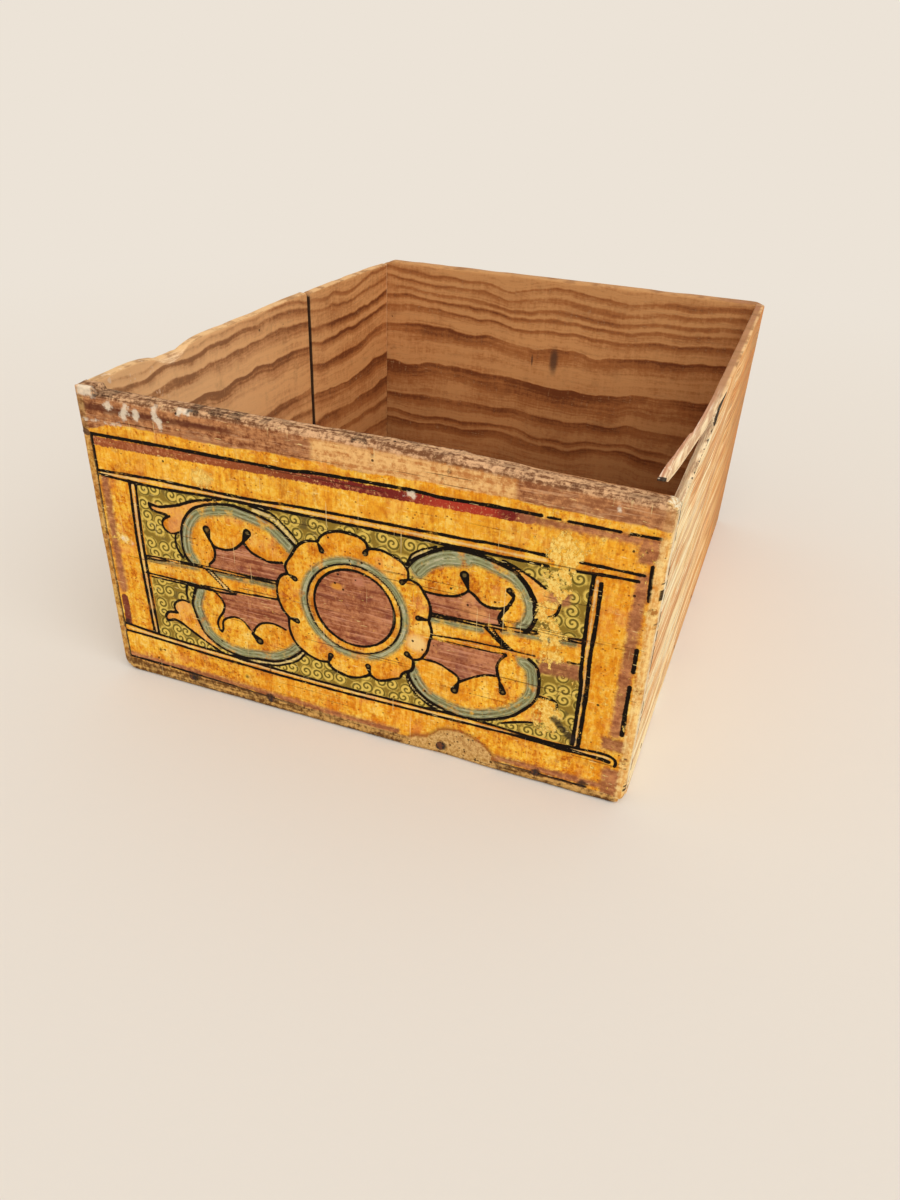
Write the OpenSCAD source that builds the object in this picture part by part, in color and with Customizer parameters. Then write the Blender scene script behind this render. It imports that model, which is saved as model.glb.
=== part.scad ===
// Open-topped pine storage box with a painted front board, nailed with forged nails.
// Origin at the middle of the underside; X to the right, Y to the back, Z up; millimetres.

/* [Overall size] */
// Outside width, left to right
body_w = 276; // [220:1:335]
// Outside depth, front to back
body_d = 342; // [270:1:415]
// Height of the side and back boards
body_h = 158; // [125:1:200]

/* [Boards] */
// Thickness of the painted front board
front_t = 9; // [7:0.5:12]
// Thickness of the back board
back_t = 9; // [7:0.5:12]
// Thickness of the two side walls
side_t = 5; // [4:0.5:8]
// Thickness of the bottom boards
bottom_t = 11; // [8:0.5:14]
// Shrinkage gap between the two bottom boards
bottom_gap = 0.8; // [0:0.1:2]
// How far the front board's rim lies below the other boards
front_drop = 3.7; // [2:0.1:6]
// Width of the unworn left end of the front board's rim
ear_w = 10.5; // [6:0.5:16]
// How far that end stands above the rim
ear_h = 1.7; // [0.5:0.1:2]

/* [Left wall joint] */
// Distance of the open joint behind the front face
joint_at = 212; // [120:1:235]
// Width of the open joint
joint_gap = 2.8; // [0.4:0.2:4]
// Corner worn off each board at the top of the joint
joint_wear = 1.6; // [0.5:0.1:3]

/* [Left rim chip] */
// Distance of the deepest point of the chip behind the front face
chip_at = 67; // [50:1:90]
// Depth of the chip
chip_depth = 3.2; // [1:0.2:6]
// Length of the chip along the rim
chip_len = 62; // [30:1:80]
// Half the length of the scoop split off the chip's inner side
scoop_half = 15; // [8:1:20]
// Height of the scoop on the inner face
scoop_drop = 4.7; // [2:0.1:8]
// Width of the scoop across the rim
scoop_in = 2.5; // [1:0.1:3.5]

/* [Split right wall] */
// Distance of the root of the split behind the front face
split_root = 140; // [100:1:190]
// Height of the sprung strip at its free end
strip_h = 5; // [3:0.5:8]
// Thickness of the sprung strip at its free end
strip_t = 3.2; // [2:0.2:4]
// How far the strip's free end leans into the box
strip_lean = 6; // [3:0.5:12]
// Depth of the stepped break on the strip's inner side
strip_step = 0.9; // [0.4:0.1:1.2]
// How far the broken ledge under the strip lies below the rim
ledge_drop = 9; // [6:0.5:14]
// Width of the ledge along the outer face
ledge_w = 2; // [1:0.1:3]
// How far the break falls from the ledge to the inner face
ledge_fall = 6; // [2:0.5:10]
// Height of the crack where the split begins, below the rim
crack_drop = 2; // [1:0.5:3]

/* [Worn edges] */
// Rounding of the front board's top edge
wear_top = 4; // [1:0.5:6]
// Rounding of the front board's right edge
wear_right = 3; // [1:0.5:6]
// Rounding of the front board's left edge
wear_left = 1.5; // [0.5:0.5:4]
// Rounding of the front board's lower edge
wear_foot = 2; // [0.5:0.5:4]
// Rounding of the boards' outer corners, seen from the front
wear_corner = 3; // [1:0.5:6]
// Rounding of the back board's upper left corner
wear_back_left = 6; // [1:0.5:10]
// Distance of the flaked patch at the foot, right of the middle
flake_at = 50; // [30:1:70]
// Half the width of the flaked patch
flake_half = 22; // [10:1:30]
// Depth of the flaked patch
flake_depth = 0.8; // [0.3:0.1:1.5]

/* [Nails] */
// Width of a nail's head
head_w = 4.6; // [3:0.2:4.8]
// Thickness of a nail's head
head_t = 1.1; // [0.8:0.1:2]
// How far a head stands proud of the wood
head_proud = 0.2; // [0:0.1:0.6]
// Width of the square shank under the head
shank_w = 2; // [1.4:0.2:2.6]
// Width of the shank at its tip
tip_w = 0.8; // [0.4:0.1:1.2]
// Length of a nail under its head
nail_len = 24; // [18:1:32]
// Height of the lowest nail in each corner
corner_nail_low = 26; // [20:1:34]
// Distance of the highest corner nail below the rim of the side and back boards
corner_nail_top = 24; // [14:1:40]
// Distance of the highest nail beside the split below that rim
split_nail_top = 54; // [40:1:65]
// Distance of the outer bottom nails from the middle, front and back
bottom_nail_outer = 95; // [70:1:100]
// Distance of the inner bottom nails from the middle, front and back
bottom_nail_inner = 47; // [25:1:60]
// Distance of a side's bottom nails from the front, the back and the bottom's middle seam
side_nail_inset = 32; // [15:1:45]
// Distance of the left side's bottom nails from the open joint
joint_nail_inset = 14; // [10:1:20]
// Distance of the corner nails from the outside of the side wall
corner_nail_in = 2.9; // [2.5:0.1:4]

/* [Hidden] */

// Faces of the box and of its inside
x_out = body_w / 2;
y_out = body_d / 2;
x_in = x_out - side_t;
y_front_in = -y_out + front_t;
y_back_in = y_out - back_t;
front_h = body_h - front_drop;

// Places worked out from the faces
y_joint = -y_out + joint_at;
y_chip = -y_out + chip_at;
y_root = -y_out + split_root;
y_bottom_mid = (y_front_in + y_back_in) / 2;
bottom_nail_z = bottom_t / 2;
corner_nail_count = 3;
corner_nail_step = (body_h - corner_nail_top - corner_nail_low) / (corner_nail_count - 1);
split_nail_step = (body_h - split_nail_top - corner_nail_low) / (corner_nail_count - 1);
y_nail_front = y_front_in + side_nail_inset;
y_nail_back = y_back_in - side_nail_inset;
left_nail_y = [y_nail_front, y_joint - joint_nail_inset, y_joint + joint_nail_inset, y_nail_back];
right_nail_y = [y_nail_front, y_bottom_mid - side_nail_inset, y_bottom_mid + side_nail_inset, y_nail_back];

// Worn rim of the front board: share of the half width, and height lost there
front_rim = [
    [0.95, 3.2], [0.87, 2.8], [0.72, 2.4], [0.58, 2.1], [0.52, 1.4], [0.385, 0.9],
    [0.36, 0], [0, 0.2], [-0.15, 0.4], [-0.45, 0.6], [-0.87, 0.8]
];

// Worn rim of the front left board: share of its length behind the front board, and height lost there
left_rim = [[0, 2.3], [0.15, 1.3], [0.47, 1], [0.74, 0.6], [0.88, 0], [1, 0]];

// Worn rim of the rear left board: share of its length behind the joint, and height lost there
rear_rim = [[0, 0.9], [0.45, 1], [0.78, 1.4], [1, 2.2]];

// Wood colours and smoothness
pine = [0.66, 0.45, 0.24];
pine_dark = [0.5, 0.31, 0.15];
ochre = [0.82, 0.56, 0.16];
iron = [0.16, 0.15, 0.15];
round_fn = 48;
head_sides = 8;
strip_steps = 12;
rim_steps = 48;
slack = 0.05;
over = 1;

// Points of a quarter circle of radius r about c, from angle a to a + 90
function corner(c, r, a) = [for (i = [0:4]) c + r * [cos(a + i * 22.5), sin(a + i * 22.5)]];

// Height lost to the chip at depth y: a raised-cosine bite round the chip's middle
function chip_loss(y) =
    abs(y - y_chip) > chip_len / 2 ? 0 : chip_depth * (1 + cos(360 * (y - y_chip) / chip_len)) / 2;

// Height of the front left board's rim at depth y
y_left_end = y_joint - joint_gap / 2;
function left_rim_z(y) =
    body_h - lookup((y - y_front_in) / (y_left_end - y_front_in), left_rim) - chip_loss(y);

// Radius of the sphere whose slice is half wide each way and deep in the middle
function slice_r(half, deep) = (half * half + deep * deep) / (2 * deep);

// Sprung strip: depth, lean and thickness at a share t of the way from root to free end
y_free = y_front_in + 0.6;
step_share = 0.6;
function strip_y(t) = y_root + (y_free - y_root) * t;
function strip_inner(t) = x_in - strip_lean * t * t + (t < step_share ? strip_step * t / step_share : 0);
function strip_outer(t) = x_in - strip_lean * t * t + side_t - (side_t - strip_t) * min(1, t / step_share);

// Board lying in the XZ plane, its front face at y
module board_xz(y, t, points) {
    translate([0, y + t, 0])
        rotate([90, 0, 0])
            linear_extrude(t)
                polygon(points);
}

// Board lying in the YZ plane, its left face at x, outline given as depth and height
module board_yz(x, t, points) {
    translate([x, 0, 0])
        rotate([90, 0, 90])
            linear_extrude(t)
                polygon(points);
}

// Cutter that rounds an edge along Z: what lies past a cylinder in its +X +Y quarter
module edge_cut(r, len) {
    difference() {
        translate([0, 0, -over])
            cube([r + over, r + over, len + 2 * over]);
        translate([0, 0, -2 * over])
            cylinder(r = r, h = len + 4 * over, $fn = round_fn);
    }
}

// The same cutter along X, turned about its own axis by a
module edge_cut_x(r, len, a) {
    rotate([90, 0, 90])
        rotate([0, 0, a])
            edge_cut(r, len);
}

// Forged nail along +Y with its head's seat at y = 0: an eight-sided domed head
// and a shank that tapers on all four sides
module nail(play) {
    half = shank_w / 2 + play;
    tip = tip_w / 2 + play;
    shank = [[-half, -over / 2], [half, -over / 2], [tip, nail_len + play], [-tip, nail_len + play]];
    dome_r = head_w * 1.6;
    intersection() {
        translate([0, 0, -half])
            linear_extrude(2 * half)
                polygon(shank);
        rotate([0, 90, 0])
            translate([0, 0, -half])
                linear_extrude(2 * half)
                    polygon(shank);
    }
    intersection() {
        rotate([90, 0, 0])
            linear_extrude(head_t + play)
                circle(d = head_w + 2 * play, $fn = head_sides);
        translate([0, dome_r - head_t - play, 0])
            sphere(r = dome_r, $fn = round_fn);
    }
}

// Nails driven backwards through the front board, heads at the front face
module front_nail(x, z, play = 0) {
    translate([x, -y_out + head_t - head_proud, z])
        nail(play);
}

// Nails driven forwards through the back board
module back_nail(x, z, play = 0) {
    translate([x, y_out - head_t + head_proud, z])
        rotate([0, 0, 180])
            nail(play);
}

// Nails driven inwards through a side wall; side is -1 for left and 1 for right
module side_nail(side, y, z, play = 0) {
    translate([side * (x_out - head_t + head_proud), y, z])
        rotate([0, 0, side * 90])
            nail(play);
}

module corner_front_nails(side, step, play = 0) {
    for (i = [0:corner_nail_count - 1])
        front_nail(side * (x_out - corner_nail_in), corner_nail_low + i * step, play);
}

module corner_back_nails(side, play = 0) {
    for (i = [0:corner_nail_count - 1])
        back_nail(side * (x_out - corner_nail_in), corner_nail_low + i * corner_nail_step, play);
}

module bottom_front_nails(play = 0) {
    for (side = [-1, 1])
        for (x = [bottom_nail_inner, bottom_nail_outer])
            front_nail(side * x, bottom_nail_z, play);
}

module bottom_back_nails(play = 0) {
    for (side = [-1, 1])
        for (x = [bottom_nail_inner, bottom_nail_outer])
            back_nail(side * x, bottom_nail_z, play);
}

module bottom_side_nails(side, play = 0) {
    for (y = side < 0 ? left_nail_y : right_nail_y)
        side_nail(side, y, bottom_nail_z, play);
}

// Every nail with a little play, to cut its hole
module nail_holes() {
    corner_front_nails(-1, corner_nail_step, slack);
    corner_front_nails(1, split_nail_step, slack);
    corner_back_nails(-1, slack);
    corner_back_nails(1, slack);
    bottom_front_nails(slack);
    bottom_back_nails(slack);
    bottom_side_nails(-1, slack);
    bottom_side_nails(1, slack);
}

// Shallow flaked patch at the foot of the front, a slice off a large sphere
module flake() {
    flake_r = slice_r(flake_half, flake_depth);
    translate([flake_at, -y_out + flake_depth - flake_r, bottom_t * 0.7])
        sphere(r = flake_r, $fn = 2 * round_fn);
}

module front_board() {
    r = wear_corner;
    ear_top = front_h + ear_h;
    ear_x = -x_out + ear_w;
    rim_end = front_rim[len(front_rim) - 1];
    outline = concat(
        corner([-x_out + r, r], r, 180),
        corner([x_out - r, r], r, 270),
        corner([x_out - r, front_h - front_rim[0][1] - r], r, 0),
        [for (p = front_rim) [p[0] * x_out, front_h - p[1]]],
        [[ear_x + slack, front_h - rim_end[1]], [ear_x, ear_top]],
        corner([-x_out + wear_left, ear_top - wear_left], wear_left, 90)
    );
    color(ochre)
        difference() {
            board_xz(-y_out, front_t, outline);
            translate([x_out - wear_right, -y_out + wear_right, 0])
                rotate([0, 0, -90])
                    edge_cut(wear_right, front_h);
            translate([-x_out + wear_left, -y_out + wear_left, 0])
                rotate([0, 0, 180])
                    edge_cut(wear_left, ear_top);
            translate([ear_x + over, -y_out + wear_top, front_h - wear_top])
                edge_cut_x(wear_top, body_w, 90);
            translate([-x_out, -y_out + wear_foot, wear_foot])
                edge_cut_x(wear_foot, body_w, 180);
            flake();
            nail_holes();
        }
}

module back_board() {
    r = wear_corner;
    outline = concat(
        corner([-x_out + r, r], r, 180),
        corner([x_out - r, r], r, 270),
        corner([x_out - r, body_h - r], r, 0),
        corner([-x_out + wear_back_left, body_h - wear_back_left], wear_back_left, 90)
    );
    color(pine)
        difference() {
            board_xz(y_back_in, back_t, outline);
            nail_holes();
        }
}

// Scoop split off the inner side of the chip, a slice off a sphere across the rim's inner corner
module chip_scoop() {
    hyp = norm([scoop_drop, scoop_in]);
    deep = scoop_drop * scoop_in / hyp;
    r = slice_r(scoop_half, deep);
    translate([-x_in, y_chip, left_rim_z(y_chip)] + (r - deep) / hyp * [scoop_drop, 0, scoop_in])
        sphere(r = r, $fn = 2 * round_fn);
}

module left_wall_front() {
    y_worn = y_left_end - joint_wear;
    rim_y = [for (i = [rim_steps:-1:0]) y_front_in + (y_worn - y_front_in) * i / rim_steps];
    outline = concat(
        [[y_front_in, 0], [y_left_end, 0], [y_left_end, body_h - joint_wear]],
        [for (y = rim_y) [y, left_rim_z(y)]]
    );
    color(pine)
        difference() {
            board_yz(-x_out, side_t, outline);
            chip_scoop();
            nail_holes();
        }
}

module left_wall_rear() {
    y_start = y_joint + joint_gap / 2;
    len = y_back_in - y_start;
    rim_start = body_h - rear_rim[0][1];
    outline = concat(
        [[y_start, 0], [y_back_in, 0]],
        [for (i = [len(rear_rim) - 1:-1:1]) [y_start + rear_rim[i][0] * len, body_h - rear_rim[i][1]]],
        [[y_start + joint_wear, rim_start], [y_start, rim_start - joint_wear]]
    );
    color(pine)
        difference() {
            board_yz(-x_out, side_t, outline);
            nail_holes();
        }
}

// Strip split off the top of the right wall, rooted in it and bent inwards:
// its curved plan meets its tapering side view
module sprung_strip() {
    z_crack = body_h - crack_drop;
    z_under = body_h - strip_h;
    inner = [for (i = [0:strip_steps]) [strip_inner(i / strip_steps), strip_y(i / strip_steps)]];
    outer = [for (i = [strip_steps:-1:0]) [strip_outer(i / strip_steps), strip_y(i / strip_steps)]];
    side_view = [
        [y_root + over, z_crack], [y_root + over, body_h], [strip_y(0.9), body_h],
        [y_free, body_h - 1.8], [strip_y(0.96), z_under + 0.5], [strip_y(0.85), z_under],
        [strip_y(0.42), z_under + 0.4], [strip_y(0.3), z_crack - 0.6], [y_root, z_crack]
    ];
    intersection() {
        linear_extrude(body_h)
            polygon(concat([[x_in, y_root + over]], inner, outer, [[x_out, y_root + over]]));
        board_yz(x_in - 2 * strip_lean, side_t + 4 * strip_lean, side_view);
    }
}

// What the split took from the inner side of the right wall, below the strip
module ledge_break(z_ledge) {
    y_break = strip_y(0.27);
    slope = [
        [x_out - ledge_w, body_h + over], [x_out - ledge_w, z_ledge], [x_in, z_ledge - ledge_fall],
        [x_in - over, z_ledge - ledge_fall], [x_in - over, body_h + over]
    ];
    translate([0, y_break, 0])
        rotate([90, 0, 0])
            linear_extrude(y_break - y_front_in + over)
                polygon(slope);
}

module right_wall() {
    z_crack = body_h - crack_drop;
    z_ledge = body_h - ledge_drop;
    outline = [
        [y_front_in, 0], [y_back_in, 0], [y_back_in, body_h - 1.4], [y_back_in - 5, body_h],
        [y_root, body_h], [y_root, z_crack], [strip_y(0.22), z_crack - 1.4], [strip_y(0.27), z_ledge + 1.4],
        [strip_y(0.36), z_ledge + 2], [strip_y(0.5), z_ledge + 0.6], [strip_y(0.55), z_ledge + 1.1],
        [strip_y(0.8), z_ledge], [y_front_in, z_ledge + 0.5]
    ];
    color(pine)
        difference() {
            union() {
                difference() {
                    board_yz(x_in, side_t, outline);
                    ledge_break(z_ledge);
                }
                sprung_strip();
            }
            nail_holes();
        }
}

// Bottom board between the walls, from depth y0 to y1
module bottom_board(y0, y1) {
    color(pine_dark)
        difference() {
            translate([-x_in, y0, 0])
                cube([2 * x_in, y1 - y0, bottom_t]);
            nail_holes();
        }
}

module bottom_board_front() {
    bottom_board(y_front_in, y_bottom_mid - bottom_gap / 2);
}

module bottom_board_rear() {
    bottom_board(y_bottom_mid + bottom_gap / 2, y_back_in);
}

module nails_front_left() {
    color(iron) corner_front_nails(-1, corner_nail_step);
}

module nails_front_right() {
    color(iron) corner_front_nails(1, split_nail_step);
}

module nails_back_left() {
    color(iron) corner_back_nails(-1);
}

module nails_back_right() {
    color(iron) corner_back_nails(1);
}

module nails_bottom_front() {
    color(iron) bottom_front_nails();
}

module nails_bottom_back() {
    color(iron) bottom_back_nails();
}

module nails_bottom_left() {
    color(iron) bottom_side_nails(-1);
}

module nails_bottom_right() {
    color(iron) bottom_side_nails(1);
}

front_board();
back_board();
left_wall_front();
left_wall_rear();
right_wall();
bottom_board_front();
bottom_board_rear();
nails_front_left();
nails_front_right();
nails_back_left();
nails_back_right();
nails_bottom_front();
nails_bottom_back();
nails_bottom_left();
nails_bottom_right();
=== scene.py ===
"""Looks of an old open pine box with a painted front board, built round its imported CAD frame.

Lengths in the tables are millimetres: X to the right, Y to the back and Z up, from the middle of
the underside.
"""

import math

import bmesh
import bpy
import numpy as np
from mathutils import Matrix, Vector, noise


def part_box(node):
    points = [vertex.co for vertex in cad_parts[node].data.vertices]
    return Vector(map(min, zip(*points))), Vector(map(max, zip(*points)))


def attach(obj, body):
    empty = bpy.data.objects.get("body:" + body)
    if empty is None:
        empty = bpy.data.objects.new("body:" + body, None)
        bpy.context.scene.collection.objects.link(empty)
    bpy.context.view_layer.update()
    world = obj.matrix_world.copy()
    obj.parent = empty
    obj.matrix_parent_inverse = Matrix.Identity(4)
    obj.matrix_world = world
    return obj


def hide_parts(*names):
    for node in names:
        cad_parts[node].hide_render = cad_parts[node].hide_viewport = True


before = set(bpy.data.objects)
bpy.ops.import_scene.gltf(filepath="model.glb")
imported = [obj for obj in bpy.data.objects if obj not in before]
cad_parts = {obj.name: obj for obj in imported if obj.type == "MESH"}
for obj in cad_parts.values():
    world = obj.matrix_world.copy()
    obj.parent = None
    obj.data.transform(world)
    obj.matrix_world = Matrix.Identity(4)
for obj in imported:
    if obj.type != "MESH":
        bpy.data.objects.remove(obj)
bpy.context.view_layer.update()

bl_info = {
    "name": "Painted Pine Box",
    "version": (1, 0, 0),
    "blender": (4, 5, 0),
    "location": "View3D > Sidebar > Pine Box",
    "description": "Builds a worn, nailed pine box with a painted strapwork front",
    "category": "Object",
}

MM = 0.001
TINY = 1e-6
BAKE_MAP = "OFBake"


def node_box(name):
    """Lowest and highest corner of a CAD node, in millimetres."""
    low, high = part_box(name)
    return np.array(low) / MM, np.array(high) / MM


def linear(red, green, blue):
    """Linear colour of a colour given in the usual 0 to 255 display values."""
    shares = (channel / 255 for channel in (red, green, blue))
    return tuple(s / 12.92 if s <= 0.04045 else ((s + 0.055) / 1.055) ** 2.4 for s in shares)


FRONT_LOW, FRONT_HIGH = node_box("front_board")
RIGHT_LOW, RIGHT_HIGH = node_box("right_wall")
LEFT_HIGH = node_box("left_wall_front")[1]
BACK_LOW, BACK_HIGH = node_box("back_board")
RIM = BACK_HIGH[2]
REAR_LOW = node_box("left_wall_rear")[0]
JOINT_Y = (LEFT_HIGH[1] + REAR_LOW[1]) / 2
JOINT_GAP = REAR_LOW[1] - LEFT_HIGH[1]


# Properties

def length_prop(name, description, default):
    return bpy.props.FloatProperty(name=name, description=description, default=default * MM, unit="LENGTH")


def number_prop(name, description, default, subtype="NONE"):
    return bpy.props.FloatProperty(name=name, description=description, default=default, subtype=subtype)


def colour_prop(name, description, red, green, blue):
    return bpy.props.FloatVectorProperty(
        name=name, description=description, default=linear(red, green, blue), subtype="COLOR", min=0, max=1)


class BoxPaint(bpy.types.PropertyGroup):
    """Colours of the painted front."""
    ochre: colour_prop("Ochre", "Ground of the bands and scrolls", 246, 186, 52)
    orange: colour_prop("Orange", "Warmer patches in the ochre", 230, 144, 30)
    pale: colour_prop("Pale", "Rubbed, thin ochre", 252, 210, 108)
    panel: colour_prop("Panel", "Ground behind the scrolls", 222, 188, 88)
    curl: colour_prop("Curl", "Small curls on the panel", 92, 78, 26)
    celadon: colour_prop("Celadon", "Grey-green shading bands", 144, 156, 120)
    maroon: colour_prop("Maroon", "Red-brown fields and shading", 144, 78, 48)
    mauve: colour_prop("Mauve", "Faded red-brown along the edges", 192, 126, 84)
    ink: colour_prop("Ink", "Drawn lines", 22, 15, 9)
    cream: colour_prop("Cream", "Light lines and rubbed spots", 238, 210, 148)
    honey: colour_prop("Honey", "Bare wood showing through the paint", 242, 190, 120)


class BoxWood(bpy.types.PropertyGroup):
    """Colours of the bare boards and of the nails."""
    light: colour_prop("Light", "Early wood", 226, 166, 104)
    middle: colour_prop("Middle", "Between early and late wood", 184, 118, 64)
    dark: colour_prop("Dark", "Late wood", 118, 62, 28)
    rim: colour_prop("Rim", "Worn top edges", 224, 180, 126)
    broken: colour_prop("Broken", "Split faces", 212, 158, 122)
    # Also laid over the broken ledge as painted light
    split: colour_prop("Split", "Fresh outer side of the sprung strip", 250, 224, 178)
    wash: colour_prop("Wash", "Thin yellow wash outside", 240, 186, 112)
    iron: colour_prop("Iron", "Nail heads", 52, 44, 40)
    rust: colour_prop("Rust", "Rust on the nails", 112, 66, 38)


class BoxWear(bpy.types.PropertyGroup):
    """Sizes of the worn edges and of the split."""
    top: length_prop("Front top", "Rounding of the front board's top edge", 3.4)
    right: length_prop("Front right", "Rounding of the front board's right edge", 3.0)
    left: length_prop("Front left", "Rounding of the front board's left edge", 1.6)
    foot: length_prop("Front foot", "Rounding of the front board's lower edge", 2.0)
    edge: length_prop("Other edges", "Rounding of the other boards' edges", 0.9)
    lean: length_prop("Strip lean", "How far the sprung strip's end leans in", 6.0)


class BoxStage(bpy.types.PropertyGroup):
    """Floor, light and camera."""
    floor: colour_prop("Floor", "Floor and backdrop", 236, 227, 215)
    light: number_prop("Soft light", "Strength of the soft high light", 1.9)
    spread: number_prop("Spread", "Width of the soft light as seen from the box", 1.2, "ANGLE")
    fill: number_prop("Fill", "Strength of the even light", 0.66)


# Shader expressions

class Field:
    """A number or colour that varies over a surface. Python expressions on it add Math nodes."""

    def __init__(self, finish, socket):
        self.finish = finish
        self.socket = socket

    def math(self, operation, *values):
        return self.finish.node("ShaderNodeMath", {"operation": operation}, dict(enumerate(values)))

    def __add__(self, other):
        return self.math("ADD", self, other)

    def __radd__(self, other):
        return self.math("ADD", other, self)

    def __sub__(self, other):
        return self.math("SUBTRACT", self, other)

    def __rsub__(self, other):
        return self.math("SUBTRACT", other, self)

    def __mul__(self, other):
        return self.math("MULTIPLY", self, other)

    def __rmul__(self, other):
        return self.math("MULTIPLY", other, self)

    def __truediv__(self, other):
        return self.math("DIVIDE", self, other)

    def __neg__(self):
        return self.math("MULTIPLY", self, -1)

    def least(self, other):
        return self.math("MINIMUM", self, other)

    def most(self, other):
        return self.math("MAXIMUM", self, other)

    def size(self):
        return self.math("ABSOLUTE", self)

    def rise(self, low, high):
        """0 below low and 1 above high, eased between; the other way round where low is the larger."""
        if low > high:
            return 1 - self.rise(high, low)
        settings = {"interpolation_type": "SMOOTHSTEP"}
        return self.finish.node("ShaderNodeMapRange", settings, {0: self, 1: low, 2: high, 3: 0, 4: 1})


# How glossy a finish is
DULL = 0.18
CHALKY = 0.05
# Which way a pattern is moved along to tell boards and layers apart
SHIFT_WAY = (1, 1.7, 0.6)


class Finish:
    """A procedural material on Object coordinates, in millimetres."""

    def __init__(self, name, gloss=DULL):
        self.material = bpy.data.materials.new(name)
        self.material.use_nodes = True
        self.tree = self.material.node_tree
        self.shader = self.tree.nodes["Principled BSDF"]
        self.shader.inputs["Specular IOR Level"].default_value = gloss
        place = self.node("ShaderNodeTexCoord", output="Object")
        self.place = self.vector_math("SCALE", {0: place, "Scale": 1 / MM})
        self.x, self.y, self.z = (self.part(self.place, axis) for axis in range(3))

    def node(self, kind, settings=None, inputs=None, output=0):
        """Adds a node, with its settings made before its sockets, and gives one of its outputs."""
        node = self.tree.nodes.new(kind)
        for key, value in (settings or {}).items():
            if key == "stops":
                self.fill_ramp(node.color_ramp, value)
            else:
                setattr(node, key, value)
        for key, value in (inputs or {}).items():
            if isinstance(value, Field):
                self.tree.links.new(value.socket, node.inputs[key])
            else:
                node.inputs[key].default_value = value
        return Field(self, node.outputs[output])

    def fill_ramp(self, ramp, stops):
        while len(ramp.elements) < len(stops):
            ramp.elements.new(0.5)
        for element, (place, value) in zip(ramp.elements, stops):
            element.position = place
            element.color = (value, value, value, 1)

    def attribute(self, name):
        return self.node("ShaderNodeAttribute", {"attribute_name": name}, None, "Fac")

    def vector_math(self, operation, inputs, output=0):
        return self.node("ShaderNodeVectorMath", {"operation": operation}, inputs, output)

    def vector(self, x, y, z):
        return self.node("ShaderNodeCombineXYZ", None, {0: x, 1: y, 2: z})

    def part(self, vector, axis):
        return self.node("ShaderNodeSeparateXYZ", None, {0: vector}, axis)

    def reach(self, x, y):
        """Length of a flat vector."""
        return self.vector_math("LENGTH", {0: self.vector(x, y, 0)}, "Value")

    def stretched(self, x=1, y=1, z=1, shift=0):
        """The place with each axis scaled, moved along by a shift."""
        scaled = self.vector_math("MULTIPLY", {0: self.place, 1: (x, y, z)})
        return self.vector_math("ADD", {0: scaled, 1: tuple(shift * way for way in SHIFT_WAY)})

    def noise(self, size, detail=2, rough=0.5, vector=None):
        return self.node("ShaderNodeTexNoise", None, {
            "Vector": vector or self.place, "Scale": 1 / size, "Detail": detail, "Roughness": rough})

    def patches(self, size, shift, low, high, detail=4, rough=0.65):
        """Cloudy patches of a size, moved along by a shift, with their edge between two levels."""
        return self.noise(size, detail, rough, self.stretched(shift=shift)).rise(low, high)

    def cells(self, size, vector):
        """Distance to the nearest of many scattered points, as a share of a size."""
        return self.node("ShaderNodeTexVoronoi", None, {"Vector": vector, "Scale": 1 / size})

    def ramp(self, value, stops):
        return self.node("ShaderNodeValToRGB", {"stops": stops}, {0: value})

    def mix(self, share, first, second, blend="MIX"):
        """Colour first where share is 0 and second where it is 1."""
        return self.node(
            "ShaderNodeMix", {"data_type": "RGBA", "blend_type": blend},
            {0: share, 6: colour(first), 7: colour(second)}, 2)

    def shade(self, base, amount):
        """A colour made lighter or darker by a factor that varies."""
        grey = self.node("ShaderNodeCombineColor", None, {0: amount, 1: amount, 2: amount})
        return self.mix(1, base, grey, "MULTIPLY")

    def coats(self, base, *layers):
        """A colour with others laid over it in turn, each as its share and its colour."""
        for share, tint in layers:
            base = self.mix(share, base, tint)
        return base

    def bump(self, height, depth):
        """Surface relief: height from 0 to 1 stands for a depth in millimetres."""
        return self.node("ShaderNodeBump", None, {"Strength": 1, "Distance": depth * MM, "Height": height})

    def done(self, base, rough, normal, metallic=0):
        values = {"Base Color": base, "Roughness": rough, "Normal": normal, "Metallic": metallic}
        for name, value in values.items():
            if isinstance(value, Field):
                self.tree.links.new(value.socket, self.shader.inputs[name])
            else:
                self.shader.inputs[name].default_value = value
        return self.material


def colour(value):
    """What a colour socket takes, from a field, a setting, or a tuple of display values."""
    if isinstance(value, Field):
        return value
    return (*(linear(*value) if isinstance(value, tuple) else value), 1)


# Board meshes

def places(length, fine, cell):
    """Places along a board: close together at both ends for the worn edges, then evenly spaced."""
    count = max(2, round((length - 2 * fine[-1]) / cell))
    middle = np.linspace(fine[-1], length - fine[-1], count + 1)
    return np.array([*fine[:-1], *middle, *(length - f for f in reversed(fine[:-1]))])


EDGE_ROWS = [0, 0.35, 0.8, 1.4, 2.2, 3.4]
# Columns of a placed board that stand for X, Y and Z, for boards that run along X and along Y
ALONG_X = [0, 2, 1]
ALONG_Y = [2, 0, 1]
# Bake map: largest scale of the far face, share of the map in use, and the edge strips' places
MAP_BACK, MAP_USED, MAP_STRIP = 0.62, 0.97, 0.95
MAP_MARGIN, MAP_STEP, MAP_DEEP = 0.02, 0.08, 0.06


def unit(values):
    """Values held between 0 and 1."""
    return np.clip(values, 0, 1)


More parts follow.
